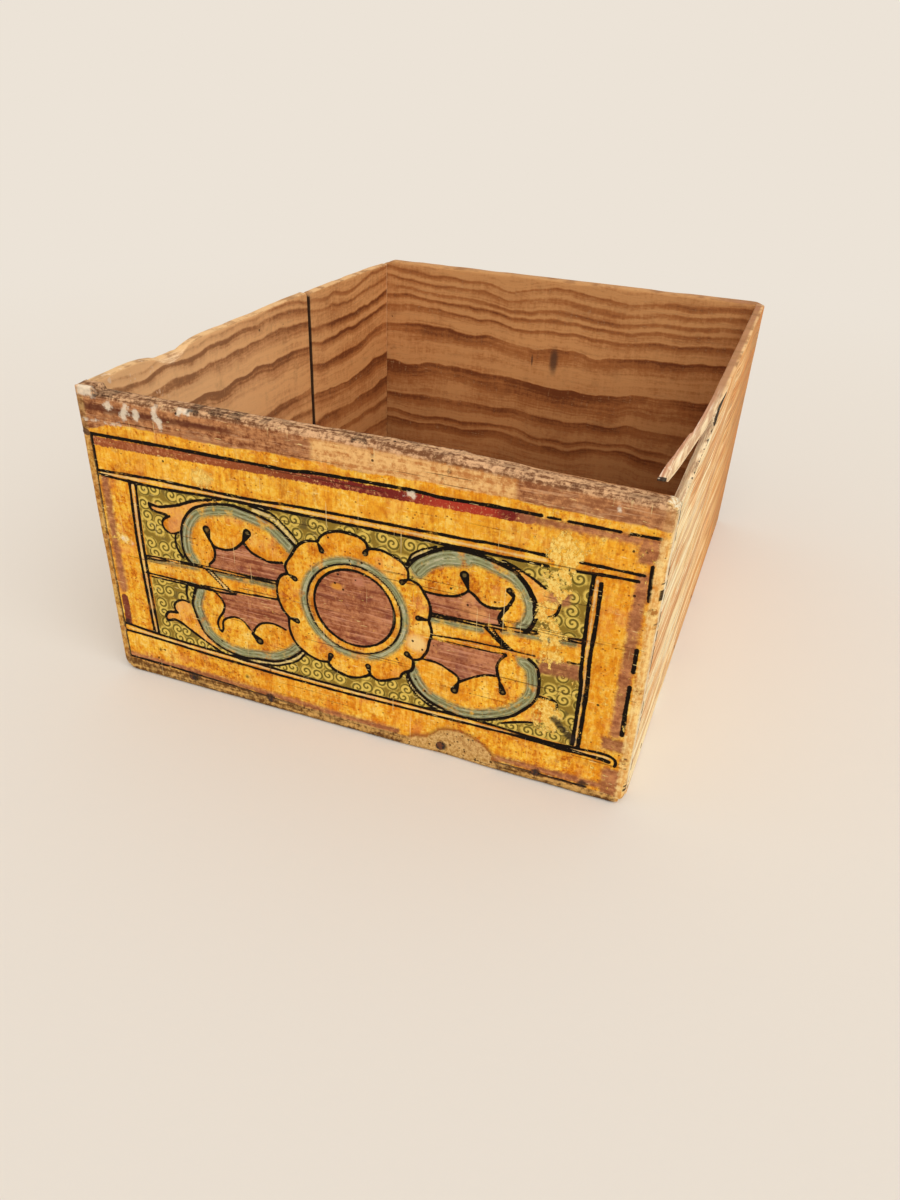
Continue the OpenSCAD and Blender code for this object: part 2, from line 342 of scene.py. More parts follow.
class Board:
    """A board made as a grid, given its thickness by extrusion and rows round its edges by subdivision.

    flat holds each vertex's place on the plain board: along it, up it and through its thickness.
    """

    def __init__(self, along, up, through, gap=None, fine_face=False):
        self.mesh = bmesh.new()
        self.sizes = np.array([along[-1], up[-1], through[-1]])
        count = (len(along) - 1, len(up) - 1)
        bmesh.ops.create_grid(self.mesh, x_segments=count[0], y_segments=count[1], size=0.5)
        for vertex in self.mesh.verts:
            column = round((vertex.co.x + 0.5) * count[0])
            row = round((vertex.co.y + 0.5) * count[1])
            vertex.co = (along[column], up[row], 0)
        if gap:
            lost = [face for face in self.mesh.faces if gap(*face.calc_center_median()[:2])]
            bmesh.ops.delete(self.mesh, geom=lost, context="FACES")
        self.give_thickness(through)
        if fine_face:
            near = [face for face in self.mesh.faces if all(v.co.z < TINY for v in face.verts)]
            edges = list(dict.fromkeys(edge for face in near for edge in face.edges))
            bmesh.ops.subdivide_edges(self.mesh, edges=edges, cuts=1, use_grid_fill=True)
        self.mesh.verts.index_update()
        self.flat = np.array([vertex.co for vertex in self.mesh.verts])
        self.lay_out_map()

    def give_thickness(self, through):
        made = bmesh.ops.extrude_face_region(self.mesh, geom=self.mesh.faces[:], use_keep_orig=True)["geom"]
        back = [item for item in made if isinstance(item, bmesh.types.BMVert)]
        bmesh.ops.translate(self.mesh, verts=back, vec=(0, 0, through[-1]))
        across = [e for e in self.mesh.edges if abs(e.verts[0].co.z - e.verts[1].co.z) > through[-1] / 2]
        bmesh.ops.subdivide_edges(self.mesh, edges=across, cuts=len(through) - 2, use_grid_fill=True)
        for vertex in self.mesh.verts:
            vertex.co.z = through[round(vertex.co.z / through[-1] * (len(through) - 1))]

    def lay_out_map(self):
        """Bake map: the face across the top, the other face below it, the edges in strips beside that."""
        layer = self.mesh.loops.layers.uv.new(BAKE_MAP)
        length, height, depth = self.sizes
        face_high = height / length
        back_scale = min(MAP_BACK, (MAP_USED - face_high) / face_high)
        strip = (1 - back_scale) * MAP_STRIP
        for face in self.mesh.faces:
            if all(loop.vert.co.z < TINY for loop in face.loops):
                for loop in face.loops:
                    loop[layer].uv = (loop.vert.co.x / length, 1 - face_high + loop.vert.co.y / length)
            elif all(loop.vert.co.z > depth - TINY for loop in face.loops):
                for loop in face.loops:
                    loop[layer].uv = np.array(loop.vert.co[:2]) / length * back_scale
            else:
                x, y = face.calc_center_median()[:2]
                side = int(np.argmin([abs(x), abs(x - length), abs(y), abs(y - height)]))
                run = 1 if side < 2 else 0
                for loop in face.loops:
                    beside = back_scale + MAP_MARGIN + loop.vert.co[run] / self.sizes[run] * strip
                    below = MAP_MARGIN + side * MAP_STEP + loop.vert.co.z / depth * MAP_DEEP
                    loop[layer].uv = (beside, below)

    def rounded(self, radii):
        """The plain board with its edges worn round; radii gives each vertex its radius in millimetres."""
        half = self.sizes / 2
        centred = self.flat - half
        radius = np.minimum(np.asarray(radii).reshape(-1, 1), half * 0.98)
        core = np.clip(centred, radius - half, half - radius)
        away = centred - core
        reach = np.linalg.norm(away, axis=1, keepdims=True)
        turned = away / np.maximum(reach, TINY) * radius
        return core + np.where(reach > TINY, turned, 0) + half

    def finish(self, name, placed, fields, material, nodes, slot):
        """Makes the object from the placed vertices, in millimetres, with its fields as attributes."""
        for vertex, co in zip(self.mesh.verts, placed):
            vertex.co = co * MM
        bmesh.ops.recalc_face_normals(self.mesh, faces=self.mesh.faces[:])
        mesh = bpy.data.meshes.new(name)
        self.mesh.to_mesh(mesh)
        self.mesh.free()
        for key, values in fields.items():
            layer = mesh.attributes.new(key, "FLOAT", "POINT")
            layer.data.foreach_set("value", np.asarray(values, dtype=np.float32))
        mesh.shade_smooth()
        mesh.materials.append(material)
        piece = bpy.data.objects.new(name, mesh)
        bpy.context.scene.collection.objects.link(piece)
        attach(piece, "root")
        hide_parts(*nodes)
        return piece


def rough_at(points, size, seed):
    """Smooth noise between about -1 and 1 at each point, with features about size millimetres across."""
    shift = Vector((seed * 17.3, seed * 5.1, seed * 9.7))
    return np.array([noise.noise(Vector(point) / size + shift) for point in points])


def rough_along(along, through, size, seed):
    """Noise along a board and through its thickness, the same all the way up it."""
    return rough_at(np.column_stack([along, through, 0 * along]), size, seed)


def corner_shift(beside, below, radius):
    """How far vertices near a square corner move in from both edges, to round it in the board's plane."""
    a = np.clip(radius - beside, 0, None)
    b = np.clip(radius - below, 0, None)
    share = np.maximum(a, b) / np.maximum(np.hypot(a, b), TINY)
    return a * (1 - share) * (b > 0), b * (1 - share) * (a > 0)


def bite(values, middle, half, depth):
    """Rounded bite of a depth, half wide each side of its middle."""
    share = unit(np.abs(values - middle) / half)
    return depth * (1 + np.cos(np.pi * share)) / 2


# Painted ornament of the front board, as drawn lines and filled shapes

CURVE_STEP = 0.8
RING_POINTS = 73


def curve(points, closed=False):
    """Smooth curve through given points, as closely spaced points."""
    knots = np.array(points, dtype=float)
    if len(knots) < 3:
        return knots
    if closed:
        padded = np.vstack([knots[-1:], knots, knots[:2]])
    else:
        padded = np.vstack([2 * knots[0] - knots[1], knots, 2 * knots[-1] - knots[-2]])
    runs = []
    for a, b, c, d in zip(padded, padded[1:], padded[2:], padded[3:]):
        count = max(2, int(np.ceil(np.linalg.norm(c - b) / CURVE_STEP)))
        t = np.linspace(0, 1, count, endpoint=False)[:, None]
        parts = (2 * b, c - a, 2 * a - 5 * b + 4 * c - d, 3 * b - a - 3 * c + d)
        runs.append(0.5 * sum(part * t**power for power, part in enumerate(parts)))
    return np.vstack(runs + [padded[-2:-1]])


def ring(middle, radius_x, radius_z):
    """Ellipse as points."""
    angles = np.radians(np.linspace(0, 360, RING_POINTS))
    return np.column_stack([middle[0] + radius_x * np.cos(angles), middle[1] + radius_z * np.sin(angles)])


def distance(points, line):
    """Distance of each point from a line of many short stretches."""
    best = np.full(len(points), np.inf)
    for start, end in zip(line, line[1:]):
        run = end - start
        share = unit((points - start) @ run / max(run @ run, 1e-12))
        best = np.minimum(best, np.hypot(*(points - start - share[:, None] * run).T))
    return best


def inside(points, outline):
    """Which points lie inside a closed outline."""
    within = np.zeros(len(points), dtype=bool)
    for (x0, z0), (x1, z1) in zip(outline, np.roll(outline, -1, axis=0)):
        spans = (z0 > points[:, 1]) != (z1 > points[:, 1])
        if z0 != z1:
            within ^= spans & (points[:, 0] < (x1 - x0) * (points[:, 1] - z0) / (z1 - z0) + x0)
    return within


# Farthest distance kept in a field
FAR = 8.0


class Drawing:
    """Distances in millimetres from the front's vertices to each kind of mark; below 0 is in it."""

    def __init__(self, points):
        self.points = points
        self.fields = {}

    def field(self, name):
        return self.fields.setdefault(name, np.full(len(self.points), FAR))

    def near(self, line):
        low = line.min(axis=0) - FAR
        high = line.max(axis=0) + FAR
        return np.flatnonzero(np.all((self.points >= low) & (self.points <= high), axis=1))

    def stroke(self, name, points, width):
        """A drawn line of a width."""
        line = curve(points)
        chosen = self.near(line)
        field = self.field(name)
        field[chosen] = np.minimum(field[chosen], distance(self.points[chosen], line) - width / 2)

    def fill(self, name, points, smooth=True):
        """A filled shape."""
        line = curve(points, True) if smooth else np.vstack([points, points[:1]])
        chosen = self.near(line)
        away = distance(self.points[chosen], line)
        signed = np.where(inside(self.points[chosen], line[:-1]), -away, away)
        field = self.field(name)
        field[chosen] = np.minimum(field[chosen], signed)

    def drop(self, name, head, tail, width):
        """A teardrop from a round head to a pointed tail."""
        head, tail = np.array(head), np.array(tail)
        for share in np.linspace(0, 1, 7):
            self.dab(name, head + (tail - head) * share, width * (1 - 0.75 * share))

    def dab(self, name, middle, width):
        line = np.array([middle, middle])
        chosen = self.near(line)
        field = self.field(name)
        away = np.hypot(*(self.points[chosen] - np.asarray(middle)).T)
        field[chosen] = np.minimum(field[chosen], away - width / 2)


# Border lines as a width and points
BAND_LINES = [
    (1.5, [(-132.6, 133.7), (-113, 133.9), (-89, 134.2), (-58, 134.3), (-29, 134.5), (-13, 135.7),
     (28, 136.4), (44, 135.8), (65, 136.4), (86, 136.4)]),
    (1.1, [(88.6, 136.3), (94, 136.3)]),
    (1.2, [(97, 136.2), (112, 136.1), (118, 136)]),
    (1.3, [(122, 136), (134, 136.2)]),
    (1.3, [(-132.6, 115.7), (-111, 116.4), (-96, 116.8), (-50, 116.8), (-29, 117.9), (1, 118.5),
     (54, 119.2), (65, 119.7), (91, 119.4)]),
    (1.2, [(104, 119.5), (117, 119.5), (130, 119.4)]),
    (1.3, [(-132.3, 113.8), (-118, 113), (-92, 113), (-75, 113.8), (-44, 114.4), (5, 114.7), (54, 114.9),
     (91, 114.9)]),
    (1.3, [(99, 114.9), (106, 115.4), (116, 116.1), (128, 116.4)]),
    (1.3, [(-133, 30), (-123, 29), (-102, 27.6), (-75, 26.9), (-22, 25.5), (33, 26.2), (67, 27),
     (96, 25.7), (113, 26.4), (125, 27.2), (130, 26.2), (131.6, 24.1), (131.4, 21.7)]),
    (1.3, [(-135.4, 25.5), (-111, 25), (-75, 23.4), (-19, 22.4), (33, 23.2), (85, 24.3), (106, 23.7)]),
    (1.8, [(104, 23.8), (123, 24.1), (128.5, 23.4)]),
    (1.2, [(-133.7, 9), (-100, 8.6), (-61, 7.2), (-20, 5.5), (26, 5.2)]),
    (1.1, [(74, 5.2), (96, 5.4), (120, 5.5)]),
    (1.7, [(-132.8, 133.7), (-132.9, 122.4), (-133, 115.6)]),
    (1.0, [(-133.2, 115.6), (-134, 90), (-133.8, 45), (-133.5, 8.6)]),
    (1.4, [(-115.2, 113.3), (-116.2, 85), (-115.6, 55), (-114.7, 29)]),
    (1.4, [(-111.8, 113), (-112.9, 85), (-112.8, 55), (-112, 28.4)]),
    (1.6, [(110, 115), (109.7, 95), (110.3, 68), (111.2, 60), (111, 28)]),
    (1.7, [(113.5, 112), (113.7, 95), (113.3, 75), (114, 58), (113.8, 28)]),
    (1.5, [(132.4, 124), (132.7, 115.7), (133.3, 108.8)]),
    (1.7, [(132, 85), (132.2, 74)]),
    (1.8, [(131.8, 66), (131.9, 52), (132.3, 40)]),
]

# Light lines between the double ones
CREAM_LINES = [
    (1.5, [(-131, 114.6), (-96, 115), (-50, 115.6), (1, 116.6), (54, 117), (90, 117.2)]),
    (1.6, [(-131, 27.6), (-102, 26), (-50, 24.8), (5, 24.3), (54, 24.8), (100, 25), (128, 25.4)]),
    (1.7, [(-113.6, 112), (-114.5, 85), (-114.2, 55), (-113.3, 29)]),
    (1.3, [(111.8, 113), (111.7, 95), (111.9, 75), (112.5, 55), (112.4, 28)]),
    (0.8, [(-112, 73.6), (-89, 75.2), (-58, 75.9), (-38, 76.4)]),
    (0.8, [(40, 79), (62, 79.6), (90, 82.4), (109, 83)]),
    (0.8, [(-111, 63.5), (-82, 64.2), (-60, 65.2), (-40, 66.8)]),
    (0.8, [(41, 67.5), (64, 68.6), (89, 69.4)]),
    (2.2, [(-77, 74.8), (-72, 70.6), (-67, 66.6)]),
    (1.8, [(68.5, 77.6), (73, 73.6), (77.6, 70.6)]),
    (2.3, [(-48, 112), (-39.4, 110), (-34.4, 106.9), (-27.6, 100.2)]),
    (1.8, [(-69.5, 27.8), (-58, 27), (-43, 29.1), (-36, 32), (-30.6, 35.4), (-25.8, 40.4)]),
    (1.7, [(28.6, 101.4), (30.8, 105.5), (35.5, 108.9), (41.4, 111.9)]),
    (1.8, [(29.2, 42.6), (30.6, 38.6), (33.1, 35.3), (37.2, 31.7), (42, 29.3), (48, 27.4)]),
]

# Straps beside the rosette
STRAP_LINES = [
    (1.0, [(-112.6, 74.4), (-89, 75.8), (-54, 76.6), (-38, 77.2)]),
    (0.9, [(-111.6, 72.7), (-89, 74.6), (-72, 74.6), (-58, 75.1), (-39, 75.7)]),
    (1.1, [(-114, 64.4), (-82, 64.8), (-60, 65.9), (-38, 67.3)]),
    (1.3, [(-111, 62.7), (-90, 63.2), (-71, 63.4), (-62, 64.3)]),
    (1.0, [(-80.2, 75.8), (-75, 72.2), (-68.8, 66.8)]),
    (1.0, [(-75, 74.8), (-70, 70.4), (-64.7, 66.1)]),
    (1.1, [(40, 79.7), (61, 80.4), (80, 82), (91, 83)]),
    (1.0, [(99, 82.7), (109, 83.9)]),
    (1.0, [(40, 78.2), (62, 78.9), (83, 80.6), (89.5, 81.7)]),
    (1.0, [(99, 81.7), (109, 82.2)]),
    (1.1, [(41, 68.4), (64, 70.1), (89.5, 70.3)]),
    (1.0, [(104, 71.2), (109.5, 71.3)]),
    (1.0, [(41, 66.5), (66, 66.8), (76, 67.6)]),
    (1.8, [(66, 78.9), (70, 75.4), (76, 70.8)]),
    (1.0, [(69.5, 78.6), (74, 74.2), (79.5, 70.3)]),
]

# Scroll outlines, then their companion lines, arcs and leaves
SCROLLS = [
    (1.3, [(-86, 76), (-88.8, 80.3), (-89.7, 86), (-88.8, 94), (-86.8, 98.9), (-83.3, 103.7),
     (-78.5, 107.2), (-70, 110.2), (-60, 111.7), (-50.5, 110.6), (-39.7, 107.9), (-34.8, 104.8),
     (-26.9, 97.9)]),
    (1.3, [(-84.7, 63), (-87.4, 55.9), (-87.8, 50.3), (-84, 38.6), (-80, 34), (-75, 31), (-69.5, 29),
     (-61, 27.9), (-53, 29), (-43, 30.3), (-36, 33.4), (-31.4, 36.6), (-26.6, 41.4)]),
    (1.7, [(28.6, 100.3), (31.4, 104.4), (36.2, 107.9), (41, 110.8), (48, 113.4), (61, 113.3),
     (73.7, 110.3), (78.5, 108.2), (82.6, 104.4), (85.4, 100.3), (87.4, 96.1), (88.1, 90), (86.1, 83.7),
     (84, 81.7)]),
    (1.4, [(86.8, 67.9), (90.9, 64.4), (92.6, 56), (91.6, 46.9), (84.7, 37.9), (80, 34), (73.7, 30.7),
     (66, 27.9), (57.8, 26.9), (51, 27.9), (42.4, 30.3), (37.6, 32.8), (33.4, 36.6), (30.7, 40.7),
     (29.3, 44.1)]),
]
SCROLL_LINES = [
    (2.2, [(78.5, 108), (82.4, 104.2), (85.2, 100), (87.1, 96), (87.7, 90)]),
    (1.3, [(-92.6, 89.9), (-93.3, 86.5), (-92.6, 82.3), (-90.2, 78.2)]),
    (0.9, [(-50, 113.4), (-39, 112), (-34, 108.9), (-29.3, 104.8), (-25.5, 100.6)]),
    (1.2, [(-90.3, 62.4), (-91, 57.6), (-90.3, 53)]),
    (0.9, [(-75, 27.8), (-69.5, 26.6), (-58, 25.9), (-43, 27.9), (-36, 30.7), (-30, 34.1),
     (-25.2, 39.7)]),
    (0.9, [(28.3, 101.7), (30.3, 106.5), (34.8, 109.9), (41.7, 113)]),
    (1.1, [(71.6, 113), (78.5, 110.7), (85.4, 107.5), (91, 104.2)]),
    (0.9, [(28.6, 42.1), (30, 37.9), (32.8, 34.1), (36.9, 30.7), (41.7, 28.3), (46.6, 26.8)]),
    (1.2, [(-74, 92.7), (-72.3, 89.2), (-71.2, 85.1), (-72.3, 81), (-75.4, 77.6)]),
    (1.2, [(-55, 94.2), (-56.4, 92.7), (-60, 89.6), (-64.7, 87.9), (-69.5, 87.9), (-72, 88.9)]),
    (1.1, [(-55, 94.2), (-51, 89.8), (-44.5, 87.4), (-41, 86.8), (-34.5, 87.9)]),
    (1.1, [(-84.7, 63), (-78.8, 63.4), (-75, 63.4), (-71.6, 61), (-69.2, 57), (-70.2, 52.4), (-73, 48.3),
     (-74.3, 44.1), (-73, 40.3), (-71.6, 41.8), (-70.9, 46.9), (-67.4, 49.7), (-62.6, 51), (-58.5, 49.3),
     (-55.7, 45.9)]),
    (1.1, [(-54.6, 43.4), (-52.3, 47.6), (-49.5, 50.6), (-46, 52.2), (-41, 52.6), (-35.2, 51)]),
    (1.1, [(57.2, 95.4), (55.4, 93.4), (51, 91), (44, 89.9), (37, 90)]),
    (1.2, [(57.2, 95.4), (60.2, 93.4), (63.3, 90.6), (67.4, 89.4), (71.6, 89.9), (74.7, 91.3),
     (76.4, 93.7), (77.6, 97), (76.6, 99.8), (74.8, 99.4)]),
    (1.8, [(75, 91), (72.6, 87.2), (71.9, 84.4), (73.7, 82.3)]),
    (1.3, [(76.4, 67.2), (73.7, 63.7), (72.6, 59.6), (73.3, 55.9), (74.3, 53)]),
    (1.2, [(73, 55), (67.4, 53.8), (61.9, 51), (57.8, 48.3), (55, 46.2)]),
    (1.1, [(55, 46.6), (54.3, 49), (50.2, 51.4), (44, 53.8), (36.2, 54.1)]),
    (1.2, [(-105.7, 103.6), (-100, 103), (-94.3, 104.4), (-88.8, 106.1), (-83.3, 108.6), (-77.8, 110.6),
     (-65, 113.5)]),
    (1.3, [(-105.7, 103.6), (-105.2, 101.6), (-103.3, 100.3), (-96.4, 99.6)]),
    (1.1, [(-94.7, 99.2), (-97.8, 97.5), (-99.5, 94.8), (-98.5, 91.7), (-95, 90.1), (-90, 91.8)]),
    (1.1, [(-90.6, 52.8), (-93, 53.4), (-96.4, 52.4), (-99.2, 49.7), (-99.5, 46.9), (-98.1, 44.8)]),
    (1.3, [(-98.4, 44.8), (-103.3, 44.1), (-105.7, 41.4), (-105, 38.6), (-100.6, 40.1), (-96.4, 39),
     (-92.3, 36.6), (-84.7, 32.4), (-79.2, 29.7), (-75, 27.8)]),
    (1.0, [(97.8, 98.2), (97.1, 94.4), (95.4, 92), (92.3, 90.3)]),
    (1.1, [(93, 49.7), (96.4, 49.3), (99.9, 49.3), (101.9, 46.9), (101.2, 43.4)]),
    (1.1, [(77, 29.4), (81.9, 31.4), (88, 33.4), (94.3, 35)]),
]

# Teardrops: head, tail and width of the head
DROPS = [
    ((-74.6, 96.4), (-73.8, 91.6), 3.6), ((-52.3, 99.4), (-55, 93.8), 3.8),
    ((-50.6, 40.4), (-54.6, 43.8), 3.6), ((55, 102.2), (57.2, 95.4), 3.6),
    ((75.6, 99.6), (77.4, 97), 2.6), ((76.2, 46.8), (74.2, 53), 3.0), ((53, 41), (55, 46.4), 3.2),
    ((8.1, 102.3), (9.4, 105.2), 2.6), ((26.0, 92.0), (29, 94.2), 2.6), ((34.0, 75.4), (39.2, 75.6), 2.6),
    ((28.8, 54.6), (32, 52.2), 2.8), ((8.8, 42), (10, 37), 2.6), ((-11, 42.8), (-12.6, 38), 2.6),
    ((-28.5, 57.8), (-33, 58.8), 2.6), ((-28.4, 81), (-32, 82.6), 2.6),
    ((-13.6, 98.9), (-15.8, 103), 2.6),
]

# Shares of the tables' widths at which straps, teardrops and their pale pips are drawn
STRAP_SHARE, DROP_SHARE, PIP_SHARE = 0.78, 1.15, 0.5
PETAL_LINE, DISC_LINE, RING_LINE, CELADON_LINE = 1.3, 1.2, 0.8, 4.2

# Red-brown fields between the scrolls and the straps
CROWNS = [
    [(-72.5, 80), (-71.2, 85.1), (-72, 88.6), (-64.7, 87.6), (-60, 89.3), (-55, 94.2), (-51, 89.6),
     (-44.5, 87.1), (-34.5, 87.4), (-33, 82.7), (-37.2, 78.9), (-38, 77.6), (-56, 77), (-75, 76.6)],
    [(-71, 64), (-60, 65), (-45, 66), (-38.6, 66.4), (-36, 62.3), (-33, 58.6), (-33.2, 51.4), (-41, 52.8),
     (-48, 51.8), (-52.6, 48), (-54.6, 44.4), (-58.5, 49.4), (-62.6, 51.2), (-67.4, 50), (-70.4, 49),
     (-69.8, 54), (-69.6, 58)],
    [(40.4, 80.4), (56, 80.4), (72.4, 81.8), (72, 85), (72.6, 88.4), (67.4, 89.2), (63, 90.8), (57.4, 95),
     (51, 90.8), (44, 89.8), (37, 89.6), (39, 85)],
    [(41, 65.8), (60, 66.2), (74.6, 66.8), (73.6, 63.7), (72.6, 59.6), (72.8, 55), (67, 53.6), (60, 50.2),
     (55, 46.4), (54, 49.4), (49, 52.2), (44, 54), (38, 54.4), (40, 60)],
]

# Outline of the nine petals, clockwise from the upper left notch
PETALS = [
    [(-15.5, 103), (-14, 105.6), (-11.4, 107.9), (-8.6, 109.2), (-4.5, 110.3), (1, 110.4), (5.2, 109.6),
     (8.3, 107.9), (9.6, 105)],
    [(9.6, 105), (14.8, 105.6), (19, 104.8), (23, 103.4), (26.6, 101.3), (28.7, 98.2), (29, 94.2)],
    [(29, 94.2), (34, 92.5), (36.9, 88.6), (39, 85.1), (40, 81), (39.2, 75.6)],
    [(39.2, 75.6), (40.6, 71), (40.7, 67.9), (39.7, 63.7), (39, 59.3), (37.2, 55.9), (35.2, 53.4),
     (32, 52.2)],
    [(32, 52.2), (32.1, 48.6), (31, 45.9), (28.6, 44.5), (26.6, 42.8), (25.2, 40), (21.7, 38.3),
     (17.6, 36.2), (13.4, 35.5), (9.8, 37.4)],
    [(9.8, 37.4), (7.9, 36.2), (3.8, 34.1), (-1, 33.1), (-5.9, 33.8), (-10, 35.2), (-12.8, 38.4)],
    [(-12.8, 38.4), (-17.6, 38.1), (-22.4, 39.3), (-26.6, 41.7), (-30.3, 45.2), (-32.4, 49.7),
     (-33.1, 53.8), (-33, 58.9)],
    [(-33, 58.9), (-35.9, 62.3), (-37.6, 66.5), (-38.4, 70.6), (-38.3, 74.8), (-37.2, 78.9),
     (-34.8, 81.7), (-32, 82.7)],
    [(-32, 82.7), (-33.1, 85.6), (-32.4, 88.6), (-29.3, 93.4), (-26.9, 97.5), (-23.8, 100.6),
     (-20.3, 102.3), (-15.5, 103)],
]
DISC = ((1.9, 72.2), 20.5, 20.0)
OUTER_RING = ((1.8, 71.5), 24.1, 23.3)
CELADON_RING = ((1.8, 71.5), 25.8, 25.0)

# Leaves beside the scrolls, straps and panel, as filled shapes
LEAVES = [
    [(-105.7, 103.6), (-94.3, 104.4), (-83.3, 108.6), (-65, 113.5), (-70, 110), (-83, 104), (-89, 94),
     (-90, 91.8), (-95, 90.1), (-99.5, 94.8), (-96, 99.4), (-103.3, 100.3)],
    [(-90.6, 52.8), (-96.4, 52.4), (-99.5, 46.9), (-105.7, 41.4), (-105, 38.6), (-96.4, 39),
     (-84.7, 32.4), (-75, 27.8), (-80, 34), (-87, 44)],
    [(71.6, 113), (85.4, 107.5), (97.8, 98.2), (96, 92), (92.3, 90.3), (88.6, 90), (87, 98), (82, 105)],
    [(92, 49.7), (99.9, 49.3), (101.9, 46.9), (99, 40), (94.3, 35), (81.9, 31.4), (77, 30), (86, 39)],
]
STRAPS = [
    [(-113, 75), (-89, 76), (-54, 77), (-36, 77.6), (-36, 67), (-60, 64.6), (-71, 63), (-113, 62.4)],
    [(38, 80), (61, 80.8), (80, 82.4), (111, 84.4), (111, 71), (89.5, 69), (76, 67), (38, 66)],
]
# Points that close each scroll's outline, and the width of the shading band along it
SCROLL_ENDS = [
    [(-34, 88), (-36, 78), (-80, 76)], [(-33, 52), (-36, 66), (-80, 64)],
    [(76, 81), (40, 79), (37, 90)], [(36, 54), (40, 66), (78, 68)],
]
RIB_WIDTHS = [11.5, 11.0, 11.0, 12.0]
# Broad strokes of red-brown and grey-green as a width and points
SHADE_LINES = [
    ("maroon", 4.4, [(-132, 130.4), (-100, 131), (-60, 132), (0, 132.8), (40, 133.4), (82, 134)]),
    ("maroon", 4.0, [(-130.4, 46), (-130.3, 38), (-130.6, 31)]),
    ("sage", 2.6, [(-72, 73), (-55, 73.6), (-40, 74)]),
    ("sage", 1.4, [(-110, 72), (-92, 73), (-82, 73.4)]),
    ("sage", 3.0, [(40, 76.4), (64, 77)]),
    ("sage", 2.4, [(74, 78.6), (90, 79.8), (106, 80.6)]),
    ("sage", 5.0, [(34, 98), (39, 103.4), (46, 107), (56, 108.6)]),
]
PEACH_PATCH = [(55, 81.6), (54, 87), (57, 93.6), (62, 91), (67, 86), (63, 81.8)]
PANEL = [
    (-111.5, 27.5), (-111.5, 113), (-60, 114.2), (0, 114.6), (60, 115), (109.5, 115), (111, 60),
    (111, 27), (60, 27), (-20, 26),
]
# Curls of the panel: distance apart, turn to turn, reach and line width
CURL_STEP = 6.8
CURL_PITCH = 2.4
CURL_RADIUS = 3.4
CURL_LINE = 1.0
TOP_BAND_FOOT = 140.4
TOP_STREAK = 146.8


def paint_fields(points):
    """Every painted mark of the front as distance fields on its vertices."""
    art = Drawing(points)
    for width, line in BAND_LINES + SCROLLS + SCROLL_LINES:
        art.stroke("ink", line, width)
    for width, line in STRAP_LINES:
        art.stroke("ink", line, STRAP_SHARE * width)
    for petal in PETALS:
        art.stroke("ink", petal, PETAL_LINE)
    for head, tail, width in DROPS:
        art.drop("ink", head, tail, DROP_SHARE * width)
        art.dab("pip", head, PIP_SHARE * width)
    art.stroke("ink", ring(*DISC), DISC_LINE)
    art.stroke("ink", ring(*OUTER_RING), RING_LINE)
    for width, line in CREAM_LINES:
        art.stroke("cream", line, width)
    for shape in CROWNS:
        art.fill("maroon", shape)
    art.fill("maroon", ring(*DISC)[:-1])
    for (_, line), ends, band in zip(SCROLLS, SCROLL_ENDS, RIB_WIDTHS):
        art.fill("scroll", np.vstack([curve(line), ends]), smooth=False)
        art.stroke("rib", line, band)
    petals = np.vstack([curve(petal)[:-1] for petal in PETALS])
    art.fill("petals", petals, smooth=False)
    for shape in LEAVES + STRAPS:
        art.fill("shapes", shape, smooth=shape in LEAVES)
    for shape in LEAVES[:3] + [PEACH_PATCH]:
        art.fill("peach", shape)
    art.fill("ground", PANEL, smooth=False)
    art.stroke("sage", ring(*CELADON_RING), CELADON_LINE)
    for name, width, line in SHADE_LINES:
        art.stroke(name, line, width)
    fields = art.fields
    covered = np.minimum(np.minimum(fields["scroll"], fields["petals"]), fields["shapes"])
    panel = np.maximum(fields["ground"], -covered)
    sage = np.minimum(fields["sage"], np.maximum(fields["rib"], fields["scroll"]))
    return {
        **{name: fields[name] for name in ("ink", "cream", "maroon", "pip", "peach")},
        "panel": panel, "sage": np.maximum(sage, -fields["maroon"]),
    }


# Outlines of the flaked foot, the bare wood in the top band and the faded patches
FLAKE_EDGE = [
    (28, -1), (29.4, 3.3), (33.3, 7.6), (38.9, 8.5), (43.9, 12.2), (47.8, 15.6), (53.3, 16.9), (60, 16.7),
    (65.6, 14.4), (71.1, 11.1), (73.6, 6.7), (72.4, -1),
]
HONEY_PATCH = [(-17, 139.6), (-17, 151), (75, 151), (75, 139.6)]
MAUVE_PATCHES = [
    [(126, 124.5), (126, 135.5), (136, 135.5), (136, 124.5)],
    [(124, 30), (124, 37), (136, 37), (136, 30)], [(126, 4), (126, 20), (136, 20), (136, 4)],
    [(91, 62), (91, 70), (110, 71), (110, 63)], [(92, 98), (93, 104), (102, 104), (102, 98)],
]
# Faded lines as a width and points
MAUVE_LINES = [
    (3.6, [(-134, 10.4), (-60, 9.2), (0, 7.6), (24, 7.8)]), (3.6, [(76, 8), (126, 8.6)]),
    (4.6, [(-129.6, 112), (-130, 80), (-129.8, 52)]), (5.4, [(129.6, 118), (129.2, 80), (129.4, 40)]),
    (3.8, [(82, 134), (126, 134)]),
]
# Rubbed spots as a middle and half sizes, then tinted ones with their colour
PALE_SPOTS = [
    ((97, 122), 7, 9), ((96, 108), 6, 9), ((95, 82), 6, 7), ((96, 71), 5, 5),
    ((92, 95), 4, 8), ((-125, 81), 5, 3), ((-74, 122), 7, 5), ((98, 40), 6, 9),
]
SOFT_SPOTS = [
    ((33.6, 61.6), 5.5, 5, (252, 216, 142)), ((-6.6, 82), 3.4, 2, (228, 152, 48)),
    ((-74, 122.6), 6, 4, (252, 210, 110)), ((4.6, 87), 3, 2.6, (196, 128, 98)),
]
